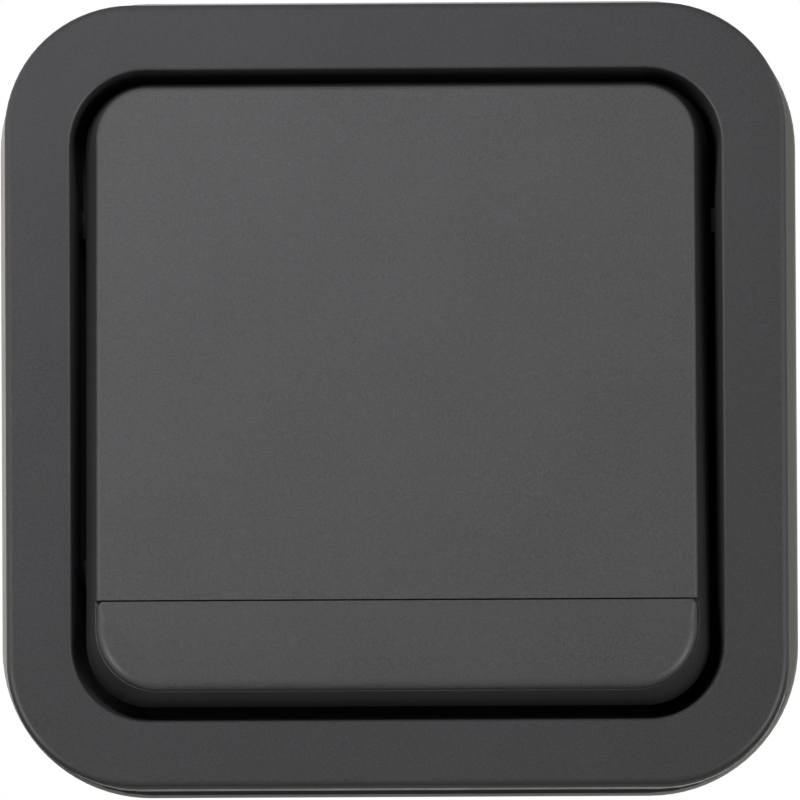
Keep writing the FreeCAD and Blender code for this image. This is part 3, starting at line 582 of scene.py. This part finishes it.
@dataclass
class Mouldings:
    """The cover and the strip, with edges that follow the moulded ones more closely."""

    dress: FrameDress
    well_half: float = 0.0319
    well_corner: float = 0.0069
    cad_edge: float = 0.001
    front: float = 0.052
    draft: float = 0.00065
    edge: float = 0.00035
    pivot_height: float = 0.0435
    tilt: float = REST_TILT
    strip_x: float = 0.029815
    strip_z: float = 0.030106
    strip_corner: float = 0.0062
    strip_top: float = 0.00945
    strip_round: float = 0.0007
    strip_start: float = 0.02145
    strip_draft: float = 11.8
    strip_fade: float = 0.0015
    fade_delay: float = 0.3
    widening: float = 1.9
    deepening: float = 1.65

    def build(self) -> None:
        """Build both mouldings."""
        self.build_cover()
        self.build_strip()

    def build_cover(self) -> None:
        """Cover whose well flares towards a tight edge at the front."""
        mesh = self.merged("cover_frame")
        share = self.edge / self.cad_edge
        for vert in mesh.verts:
            height = -vert.co.y
            out, away = beyond(vert.co.x, vert.co.z, self.well_half, self.well_half,
                               self.well_corner)
            near_front = height >= self.front - self.cad_edge - TOLERANCE
            if not near_front or not -TOLERANCE < out < self.cad_edge + TOLERANCE:
                continue
            vert.co += away * (self.draft + out * share - out)
            vert.co.y = -(self.front - (self.front - height) * share)
        piece = self.dress.piece(mesh, "cover_shell", "cover", Slot.HOUSING_PLASTIC, flat=True)
        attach(piece, Body.HOUSING.value)
        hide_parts("cover_frame")

    def build_strip(self) -> None:
        """Strip with a wider rounding along its three free edges."""
        mesh = self.merged("rocker_strip")
        middle = Vector((0.0, -self.pivot_height, 0.0))
        level = Matrix.Rotation(math.radians(self.tilt), 3, "X")
        flare = math.tan(math.radians(self.strip_draft))
        for vert in mesh.verts:
            local = level @ (vert.co - middle)
            out, away = beyond(local.x, local.z, self.strip_x, self.strip_z, self.strip_corner)
            near_top = -local.y > self.strip_top - self.strip_round
            if not near_top or local.z > -self.strip_start - TOLERANCE:
                continue
            depth = self.strip_top + local.y
            inward = depth * flare - out
            if inward < self.strip_round:
                share = (-local.z - self.strip_start) / self.strip_fade - self.fade_delay
                share = min(1.0, max(0.0, share))
                deeper = depth * (1.0 + share * (self.deepening - 1.0))
                wider = inward * (1.0 + share * (self.widening - 1.0))
                local += away * (deeper * flare - wider - out)
                local.y = deeper - self.strip_top
                vert.co = middle + level.inverted() @ local
        piece = self.dress.piece(mesh, "strip_cap", "strip", Slot.STRIP_PLASTIC, flat=True)
        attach(piece, Body.ROCKER.value)
        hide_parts("rocker_strip")

    def merged(self, node: str) -> bmesh.types.BMesh:
        """Copy a CAD solid's mesh and merge its doubles.

        Args:
            node: The CAD node.

        Returns:
            The copy.
        """
        mesh = bmesh.new()
        mesh.from_mesh(self.dress.nodes[node].data)
        bmesh.ops.remove_doubles(mesh, verts=mesh.verts, dist=MERGE_DISTANCE)
        return mesh


PLUG_PROFILE: tuple[Span, ...] = (
    (0.0, -0.0001), (0.0036, -0.0001), (0.0042, 0.0007), (0.0052, 0.0007),
    (0.0055, 0.0015), (0.0064, 0.0015), (0.0067, 0.0023), (0.0078, 0.0023),
    (0.0081, 0.0032), (0.0114, 0.0032), (0.01185, 0.0028), (0.01185, 0.00245),
    (0.00985, 0.00245), (0.00985, 0.0), (0.0114, 0.0), (0.0109, -0.0012),
    (0.0081, -0.0012), (0.0081, 0.0013), (0.0073, 0.0013), (0.007, 0.0006),
    (0.0061, 0.0006), (0.0058, -0.0002), (0.0049, -0.0002), (0.0043, -0.001),
    (0.0, -0.001),
)


@dataclass
class Seals:
    """Rubber between the box, the cover, its screws and the wall entries, and a painted highlight
    and painted shadow below the cover's lip.
    """

    dress: FrameDress
    # Pale bead below the cover's lip: a painted highlight on the lip's lower edge.
    highlight_bead_half: float = 0.03945
    highlight_bead_corner: float = 0.0133
    highlight_bead_width: float = 0.0014
    highlight_bead_front: float = 0.03798
    highlight_bead_thickness: float = 0.00026
    highlight_bead_round: float = 0.0001
    # Black sheet below the cover's lip: a painted shadow that the cover casts on the box's ledge.
    shadow_sheet_half: float = 0.03985
    shadow_sheet_corner: float = 0.01475
    shadow_sheet_width: float = 0.0018
    shadow_sheet_front: float = 0.0377
    shadow_sheet_thickness: float = 0.00018
    shadow_sheet_round: float = 0.00005
    # Height above which the painted highlight and painted shadow are cut away, so they stay only
    # at the bottom.
    painted_light_top: float = -0.03
    gasket_half: float = 0.03788
    gasket_corner: float = 0.0128
    gasket_width: float = 0.0023
    gasket_front: float = 0.0355
    gasket_thickness: float = 0.002
    gasket_round: float = 0.0004
    washer_place: float = 0.0265
    washer_hole: float = 0.00185
    washer_r: float = 0.0037
    washer_back: float = 0.0385
    washer_thickness: float = 0.0008
    washer_steps: int = 40
    turned_round: float = 0.00012
    entry_out: float = 0.036395
    entry_height: float = 0.017

    def build(self) -> None:
        """Build all the seals."""
        self.build_painted_lip_light()
        self.build_gasket()
        self.build_washers()
        for end in End:
            self.build_entry(end)

    def place(self, mesh: bmesh.types.BMesh, name: str, finish: str, *nodes: str) -> None:
        """Dress a seal and let it ride on the housing.

        Args:
            mesh: Its shape.
            name: Its name.
            finish: Its finish.
            nodes: CAD nodes that it stands for.
        """
        piece = self.dress.piece(mesh, name, finish, Slot.SEAL_RUBBER, flat=True)
        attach(piece, Body.HOUSING.value)
        if nodes:
            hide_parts(*nodes)

    def build_painted_lip_light(self) -> None:
        """Pale bead and black sheet below the cover's lip, kept only at the bottom: the bead is a
        painted highlight on the lip's lower edge, and the sheet is a painted shadow that the cover
        casts on the box's ledge.
        """
        painted_highlight = ring(self.highlight_bead_half, self.highlight_bead_corner, self.highlight_bead_width, self.highlight_bead_front,
                    self.highlight_bead_thickness)
        sheet = ring(self.shadow_sheet_half, self.shadow_sheet_corner, self.shadow_sheet_width, self.shadow_sheet_front,
                     self.shadow_sheet_thickness)
        for mesh, width, name, finish in ((painted_highlight, self.highlight_bead_round, "painted_highlight_bead", "painted_highlight"),
                                          (sheet, self.shadow_sheet_round, "painted_shadow_sheet", "seal")):
            cut(mesh, Vector((0.0, 0.0, self.painted_light_top)), Vector((0.0, 0.0, -1.0)))
            bmesh.ops.recalc_face_normals(mesh, faces=mesh.faces)
            soften(mesh, width)
            self.place(mesh, name, finish)

    def build_gasket(self) -> None:
        """Square gasket with round edges on the shelf of the box."""
        mesh = ring(self.gasket_half, self.gasket_corner, self.gasket_width, self.gasket_front,
                    self.gasket_thickness)
        soften(mesh, self.gasket_round, segments=3)
        self.place(mesh, "gasket_ring", "seal", "box_gasket")

    def build_washers(self) -> None:
        """Four washers under the heads of the cover screws."""
        lip = self.washer_thickness / 2
        profile = ((self.washer_hole, 0.0), (self.washer_r - lip, 0.0),
                   (self.washer_r, lip), (self.washer_r - lip, self.washer_thickness),
                   (self.washer_hole, self.washer_thickness))
        mesh = bmesh.new()
        for across in (1, -1):
            for up in (1, -1):
                place = Vector((across * self.washer_place, -self.washer_back,
                                up * self.washer_place))
                turned(mesh, profile, place, Vector((0.0, -1.0, 0.0)), self.washer_steps)
        soften(mesh, self.turned_round)
        self.place(mesh, "screw_washers", "seal", "screw_seals")

    def build_entry(self, end: End) -> None:
        """Plug of a cable entry, with stepped rings to cut for the cable's size.

        Args:
            end: The end of the box that it closes.
        """
        mesh = bmesh.new()
        place = Vector((0.0, -self.entry_height, end.value * self.entry_out))
        turned(mesh, PLUG_PROFILE, place, Vector((0.0, 0.0, end.value)))
        soften(mesh, self.turned_round)
        side = end.name.lower()
        self.place(mesh, f"entry_plug_{side}", "seal", f"{side}_grommet")


@dataclass
class PlungerCoil:
    """Compression spring above the plunger, wound from one wire."""

    dress: FrameDress
    axis_height: float = ACTUATOR_AXIS
    tilt: float = REST_TILT
    low: float = -0.00478
    high: float = -0.00182
    coil_r: float = 0.00125
    wire_r: float = 0.0002
    wire_segments: int = 10
    turns: float = 4.5
    stroke: float = 0.0008
    steps: int = 150

    def build(self) -> None:
        """Build the spring and let it ride on the actuator."""
        mesh = bmesh.new()
        bmesh.ops.create_circle(mesh, cap_ends=True, segments=self.wire_segments,
                                radius=self.wire_r,
                                matrix=Matrix.Translation((self.coil_r, 0.0, self.low))
                                @ Matrix.Rotation(math.radians(90.0), 4, "X"))
        rise = (self.high - self.low) / self.steps
        bmesh.ops.spin(mesh, geom=mesh.verts[:] + mesh.edges[:] + mesh.faces[:],
                       cent=(0.0, 0.0, 0.0), axis=(0.0, 0.0, 1.0), dvec=(0.0, 0.0, rise),
                       angle=math.tau * self.turns, steps=self.steps)
        bmesh.ops.remove_doubles(mesh, verts=mesh.verts, dist=MERGE_DISTANCE)
        bmesh.ops.recalc_face_normals(mesh, faces=mesh.faces)
        tilt = math.radians(self.tilt)
        along = Vector((0.0, -math.cos(tilt), math.sin(tilt)))
        middle = Vector((0.0, -self.axis_height, 0.0))
        bmesh.ops.rotate(mesh, verts=mesh.verts, cent=(0.0, 0.0, 0.0),
                         matrix=along.to_track_quat("Z", "Y").to_matrix())
        bmesh.ops.translate(mesh, verts=mesh.verts, vec=middle)
        piece = self.dress.piece(mesh, "plunger_coil", "spring", Slot.SPRING_STEEL)
        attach(piece, Body.ACTUATOR.value)
        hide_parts("plunger_spring")
        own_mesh(piece)


@dataclass
class MembraneBoot:
    """Rubber boot in the deck's window: flange, rolling fold on four sides, and pad."""

    dress: FrameDress
    flange_x: float = 0.0215
    flange_z: float = 0.0235
    flange_corner: float = 0.008
    fold_x: float = 0.0172
    fold_z: float = 0.0192
    fold_corner: float = 0.0065
    fold_width: float = 0.003
    fold_steps: int = 10
    fold_dip: float = 0.0016
    flange_front: float = 0.0365
    pad_front: float = 0.0381
    pad_steps: tuple[Span, ...] = ((0.0005, 0.0), (0.0011, 0.0), (0.0003, -0.0002))
    thickness: float = 0.001
    axis_height: float = ACTUATOR_AXIS
    tilt: float = REST_TILT

    def build(self) -> None:
        """Build the boot's pieces."""
        self.build_flange()
        self.build_pad()
        for side in Side:
            self.build_fold(side)

    def lean(self, mesh: bmesh.types.BMesh, verts: list[bmesh.types.BMVert],
             share: float = 1.0) -> None:
        """Turn part of the boot about the actuator's axis, as it lies at rest.

        Args:
            mesh: The mesh.
            verts: Its points that turn.
            share: Share of the actuator's tilt.
        """
        turn = Matrix.Rotation(-math.radians(self.tilt) * share, 3, "X")
        bmesh.ops.rotate(mesh, verts=verts, cent=(0.0, -self.axis_height, 0.0), matrix=turn)

    def build_flange(self) -> None:
        """Flat flange that the clamp holds under the deck."""
        mesh, middle = rounded_plate(self.flange_x, self.flange_z, self.flange_corner,
                                     self.flange_front)
        step_in(mesh, middle, self.flange_x - self.fold_x)
        bmesh.ops.delete(mesh, geom=[middle], context="FACES")
        thicken(mesh, self.thickness)
        piece = self.dress.piece(mesh, "boot_flange", "seal", Slot.SEAL_RUBBER)
        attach(piece, Body.HOUSING.value)
        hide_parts("membrane")

    def build_pad(self) -> None:
        """Stiff pad that the rocker's ribs push, with a shallow field in its middle."""
        mesh, middle = rounded_plate(self.fold_x - self.fold_width,
                                     self.fold_z - self.fold_width,
                                     self.fold_corner - self.fold_width, self.pad_front)
        for width, rise in self.pad_steps:
            step_in(mesh, middle, width, rise)
        thicken(mesh, self.thickness)
        self.lean(mesh, mesh.verts[:])
        piece = self.dress.piece(mesh, "boot_pad", "seal", Slot.SEAL_RUBBER)
        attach(piece, Body.ACTUATOR.value)

    def build_fold(self, side: Side) -> None:
        """One side of the rolling fold, cut from the whole along the corners' diagonals.

        Args:
            side: The side.
        """
        axis, sign = side.value
        mesh = self.whole_fold()
        upright = axis == UP_AXIS
        gap = sign * (self.fold_z - self.fold_x)
        point = Vector((0.0, 0.0, gap)) if upright else Vector((-gap, 0.0, 0.0))
        for slope in (1, -1):
            normal = Vector((0.0, 0.0, 0.0))
            normal[axis] = sign
            normal[UP_AXIS - axis] = slope
            cut(mesh, point, normal)
        bmesh.ops.recalc_face_normals(mesh, faces=mesh.faces)
        reach = self.fold_z if upright else self.fold_x
        start = Vector((0.0, -self.flange_front, 0.0))
        start[axis] = sign * reach
        end = start.copy()
        end[axis] = sign * (reach - self.fold_width)
        for vert in mesh.verts:
            share = min(1.0, max(0.0, (reach - sign * vert.co[axis]) / self.fold_width))
            self.lean(mesh, [vert], share * share * (3.0 - 2.0 * share))
        name = f"boot_fold_{side.name.lower()}"
        piece = self.dress.piece(mesh, name, "seal", Slot.SEAL_RUBBER)
        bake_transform(piece)

    def whole_fold(self) -> bmesh.types.BMesh:
        """Build the fold all round, before it leans with the actuator.

        Returns:
            The closed mesh.
        """
        mesh, middle = rounded_plate(self.fold_x, self.fold_z, self.fold_corner,
                                     self.flange_front)
        rise = self.pad_front - self.flange_front
        before = 0.0
        for step in range(1, self.fold_steps + 1):
            share = step / self.fold_steps
            height = rise * share * share - self.fold_dip * math.sin(math.pi * share)
            step_in(mesh, middle, self.fold_width / self.fold_steps, height - before)
            before = height
        bmesh.ops.delete(mesh, geom=[middle], context="FACES")
        thicken(mesh, self.thickness)
        return mesh


@dataclass
class Studio:
    """Floor, soft light, plain white surroundings and the camera of the photograph."""

    target: Vector = field(default_factory=lambda: Vector((0.00035, -0.052, -0.000575)))
    distance: float = 1.3
    azimuth: float = 0.95
    elevation: float = -2.0
    roll: float = 0.28
    frame_width: float = 0.0799
    floor_height: float = -0.3
    floor_side: float = 6.0
    key_place: Vector = field(default_factory=lambda: Vector((-0.06, -0.23, 0.09)))
    key_side: float = 0.09
    key_power: float = 0.48
    fill_place: Vector = field(default_factory=lambda: Vector((0.56, -0.74, -0.1)))
    fill_side: float = 0.5
    fill_power: float = 1.85
    edge_across: float = 0.42
    edge_place: Span = (-0.4, -0.2)
    edge_side: float = 0.2
    edge_power: float = 1.1
    front_share: float = 0.2
    mirrored_below: float = 0.15
    mirrored_above: float = 0.15
    lit_below: float = 0.03
    lit_above: float = 0.13
    room_span: Span = (-0.93, -0.5)
    ground_span: Span = (-0.35, 0.1)
    ceiling_span: Span = (0.35, 0.8)
    horizon_span: Span = (-0.4, 0.4)
    clip: Span = (0.05, 20.0)

    def build(self) -> None:
        """Set up everything around the switch."""
        self.build_floor()
        self.build_world()
        key = self.build_lamp("key_light", self.key_place, self.key_side, self.key_power)
        fill = self.build_lamp("fill_light", self.fill_place, self.fill_side, self.fill_power)
        for lamp in (key, fill):
            lamp.visible_glossy = False
            lamp.visible_camera = False
        for side, name in ((1, "right_edge_light"), (-1, "left_edge_light")):
            place = Vector((side * self.edge_across, *self.edge_place))
            lamp = self.build_lamp(name, place, self.edge_side, self.edge_power)
            lamp.visible_diffuse = False
        self.build_camera()

    def build_floor(self) -> None:
        """Plain pale floor well below the switch."""
        mesh = bmesh.new()
        bmesh.ops.create_grid(mesh, x_segments=1, y_segments=1, size=self.floor_side / 2)
        bmesh.ops.translate(mesh, verts=mesh.verts, vec=(0.0, 0.0, self.floor_height))
        floor = finished(mesh, "floor", PaleFloor().make())
        LOG.info("floor at %.2f m", self.floor_height)

    def build_world(self) -> None:
        """White surroundings that dim towards the room behind the camera."""
        world = bpy.data.worlds.new("surroundings")
        bpy.context.scene.world = world
        world.use_nodes = True
        graph = NodeGraph(world.node_tree)
        way = graph.add("ShaderNodeSeparateXYZ")
        graph.feed(way.inputs[0], graph.add("ShaderNodeTexCoord").outputs["Generated"])
        depth, height = way.outputs["Y"], way.outputs["Z"]
        rays = graph.add("ShaderNodeLightPath").outputs
        seen = graph.math("MAXIMUM", rays["Is Camera Ray"], rays["Is Transmission Ray"])
        mirrored = rays["Is Glossy Ray"]
        for place, span, shares in (
                (depth, self.room_span, (self.front_share, 1.0)),
                (height, self.ground_span, (self.mirrored_below, 1.0)),
                (height, self.ceiling_span, (1.0, self.mirrored_above))):
            mirrored = graph.math("MULTIPLY", mirrored, graph.spread(place, span, shares))
        sky = graph.spread(height, self.horizon_span, (self.lit_below, self.lit_above))
        lit = graph.math("MULTIPLY", sky, rays["Is Diffuse Ray"])
        strength = graph.math("MAXIMUM", graph.math("MAXIMUM", seen, mirrored), lit)
        background = graph.add("ShaderNodeBackground")
        graph.feed(background.inputs["Color"], (1.0, 1.0, 1.0, 1.0))
        graph.feed(background.inputs["Strength"], strength)
        output = graph.add("ShaderNodeOutputWorld")
        graph.feed(output.inputs["Surface"], background.outputs[0])

    def build_lamp(self, name: str, place: Vector, side: float,
                   power: float) -> bpy.types.Object:
        """Square soft lamp that looks at the switch.

        Args:
            name: Name of the lamp.
            place: Its middle.
            side: Its side length.
            power: Its power in watts.

        Returns:
            The lamp.
        """
        lamp = bpy.data.lights.new(name, "AREA")
        lamp.shape = "SQUARE"
        lamp.size = side
        lamp.energy = power
        holder = bpy.data.objects.new(name, lamp)
        holder.location = place
        holder.rotation_euler = (self.target - place).to_track_quat("-Z", "Y").to_euler()
        bpy.context.scene.collection.objects.link(holder)
        return holder

    def build_camera(self) -> None:
        """Long lens, almost straight in front."""
        lens = bpy.data.cameras.new("camera")
        lens.sensor_width = SENSOR_WIDTH
        lens.lens = SENSOR_WIDTH * self.distance / self.frame_width
        lens.clip_start, lens.clip_end = self.clip
        camera = bpy.data.objects.new("camera", lens)
        turn = math.radians(self.azimuth)
        rise = math.radians(self.elevation)
        away = Vector((math.sin(turn) * math.cos(rise), -math.cos(turn) * math.cos(rise),
                       math.sin(rise)))
        camera.location = self.target + away * self.distance
        look = (-away).to_track_quat("-Z", "Y").to_matrix()
        spin = Matrix.Rotation(math.radians(-self.roll), 3, "Z")
        camera.rotation_euler = (look @ spin).to_euler()
        bpy.context.scene.collection.objects.link(camera)
        bpy.context.scene.camera = camera
        LOG.info("camera %.2f m away", self.distance)


def finished(mesh: bmesh.types.BMesh, name: str, material: bpy.types.Material,
             smooth: bool = False) -> bpy.types.Object:
    """Turn a bmesh into an object of the scene.

    Args:
        mesh: The bmesh. It is freed.
        name: Name of the object and its mesh.
        material: Its material.
        smooth: Whether its faces are smooth.

    Returns:
        The new object, at the origin.
    """
    data = bpy.data.meshes.new(name)
    for face in mesh.faces:
        face.smooth = smooth
    mesh.to_mesh(data)
    mesh.free()
    if smooth:
        data.set_sharp_from_angle(angle=SHARP_ANGLE)
    data.materials.append(material)
    piece = bpy.data.objects.new(name, data)
    bpy.context.scene.collection.objects.link(piece)
    return piece


def rounded_plate(half_x: float, half_z: float, radius: float, height: float,
                  segments: int = 10) -> tuple[bmesh.types.BMesh, bmesh.types.BMFace]:
    """One face with rounded corners that looks out of the wall.

    Args:
        half_x: Half width.
        half_z: Half height.
        radius: Corner radius.
        height: Distance in front of the wall.
        segments: Segments to each corner.

    Returns:
        The mesh, and its one face.
    """
    mesh = bmesh.new()
    bmesh.ops.create_grid(mesh, x_segments=1, y_segments=1, size=1.0)
    bmesh.ops.scale(mesh, verts=mesh.verts, vec=(half_x, half_z, 1.0))
    bmesh.ops.bevel(mesh, geom=mesh.verts[:], offset=radius, affect="VERTICES",
                    segments=segments, profile=0.5, material=-1)
    bmesh.ops.rotate(mesh, verts=mesh.verts, cent=(0.0, 0.0, 0.0),
                     matrix=Matrix.Rotation(math.radians(90.0), 3, "X"))
    bmesh.ops.translate(mesh, verts=mesh.verts, vec=(0.0, -height, 0.0))
    return mesh, next(iter(mesh.faces))


def step_in(mesh: bmesh.types.BMesh, face: bmesh.types.BMFace, width: float,
            rise: float = 0.0) -> None:
    """Inset the middle face of a plate and move it out of the wall.

    Args:
        mesh: The plate.
        face: Its middle face.
        width: Width of the ring that is left around it.
        rise: How far the middle moves outwards.
    """
    bmesh.ops.inset_region(mesh, faces=[face], thickness=width, use_even_offset=True,
                           use_boundary=True)
    bmesh.ops.translate(mesh, verts=face.verts, vec=(0.0, -rise, 0.0))


def thicken(mesh: bmesh.types.BMesh, thickness: float) -> None:
    """Give an open sheet its thickness towards the wall.

    Args:
        mesh: The sheet.
        thickness: How far its back lies behind it.
    """
    made = bmesh.ops.extrude_face_region(mesh, geom=mesh.faces[:])
    back = [part for part in made["geom"] if isinstance(part, bmesh.types.BMVert)]
    bmesh.ops.translate(mesh, verts=back, vec=(0.0, thickness, 0.0))
    bmesh.ops.recalc_face_normals(mesh, faces=mesh.faces)


def cut(mesh: bmesh.types.BMesh, point: Vector, normal: Vector) -> None:
    """Cut a closed mesh along a plane and close the cut.

    Args:
        mesh: The mesh.
        point: A point of the plane.
        normal: The side that is kept.
    """
    bmesh.ops.bisect_plane(mesh, geom=mesh.verts[:] + mesh.edges[:] + mesh.faces[:],
                           plane_co=point, plane_no=normal, clear_inner=True)
    open_edges = [edge for edge in mesh.edges if edge.is_boundary]
    bmesh.ops.holes_fill(mesh, edges=open_edges)


def soften(mesh: bmesh.types.BMesh, width: float, segments: int = 2,
           from_angle: float = 0.6) -> None:
    """Round the sharp edges of a closed mesh.

    Args:
        mesh: The mesh.
        width: Width of the rounding.
        segments: Segments across it.
        from_angle: Least angle of an edge that is rounded, in radians.
    """
    sharp = [edge for edge in mesh.edges
             if edge.is_manifold and edge.calc_face_angle() > from_angle]
    bmesh.ops.bevel(mesh, geom=sharp, offset=width, affect="EDGES", segments=segments,
                    profile=0.5, clamp_overlap=True, material=-1)


def ring(half: float, radius: float, width: float, height: float,
         thickness: float) -> bmesh.types.BMesh:
    """Square ring with rounded corners, flat on the plane of the wall.

    Args:
        half: Half its outer side.
        radius: Outer corner radius.
        width: Width of its section.
        height: Distance of its front from the wall.
        thickness: Depth of its section.

    Returns:
        The closed mesh.
    """
    mesh, middle = rounded_plate(half, half, radius, height)
    step_in(mesh, middle, width)
    bmesh.ops.delete(mesh, geom=[middle], context="FACES")
    thicken(mesh, thickness)
    return mesh


def turned(mesh: bmesh.types.BMesh, profile: tuple[Span, ...], centre: Vector,
           direction: Vector, steps: int = 72) -> None:
    """Turn a closed profile about an axis and add it to a mesh.

    Args:
        mesh: The mesh to add to.
        profile: Points as radius and distance along the axis.
        centre: Where the axis starts.
        direction: The way along the axis.
        steps: Steps of the turn.
    """
    corners = [mesh.verts.new((radius, 0.0, along)) for radius, along in profile]
    lines = [mesh.edges.new(pair) for pair in zip(corners, corners[1:] + corners[:1])
             if any(corner.co.x > 0.0 for corner in pair)]
    before = set(mesh.verts) - set(corners)
    bmesh.ops.spin(mesh, geom=corners + lines, cent=(0.0, 0.0, 0.0), axis=(0.0, 0.0, 1.0),
                   angle=math.tau, steps=steps, use_merge=True)
    new = [vert for vert in mesh.verts if vert not in before]
    turn = direction.to_track_quat("Z", "Y").to_matrix()
    bmesh.ops.rotate(mesh, verts=new, cent=(0.0, 0.0, 0.0), matrix=turn)
    bmesh.ops.translate(mesh, verts=new, vec=centre)
    bmesh.ops.remove_doubles(mesh, verts=new, dist=MERGE_DISTANCE)
    bmesh.ops.recalc_face_normals(mesh, faces=mesh.faces)


def beyond(across: float, up: float, half_x: float, half_z: float,
           radius: float) -> tuple[float, Vector]:
    """How far a point of the wall's plane lies outside a rounded rectangle.

    Args:
        across: The point's place across the wall.
        up: Its place up the wall.
        half_x: Half width of the rectangle.
        half_z: Half height of the rectangle.
        radius: Its corner radius.

    Returns:
        The distance, negative inside, and the direction straight outwards.
    """
    past_x = abs(across) - (half_x - radius)
    past_z = abs(up) - (half_z - radius)
    if past_x > 0.0 and past_z > 0.0:
        length = math.hypot(past_x, past_z)
        away = Vector((math.copysign(past_x / length, across), 0.0,
                       math.copysign(past_z / length, up)))
        return length - radius, away
    if past_x > past_z:
        return past_x - radius, Vector((math.copysign(1.0, across), 0.0, 0.0))
    return past_z - radius, Vector((0.0, 0.0, math.copysign(1.0, up)))


def main() -> None:
    """Load the frame, dress it and set up the studio."""
    logging.basicConfig(level=logging.INFO, format="%(name)s: %(message)s")
    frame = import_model()
    dress = FrameDress(frame["nodes"])
    dress.dress()
    Mouldings(dress).build()
    Seals(dress).build()
    PlungerCoil(dress).build()
    MembraneBoot(dress).build()
    Studio().build()
    bpy.context.scene.view_settings.view_transform = "Standard"


if __name__ == "__main__":
    main()
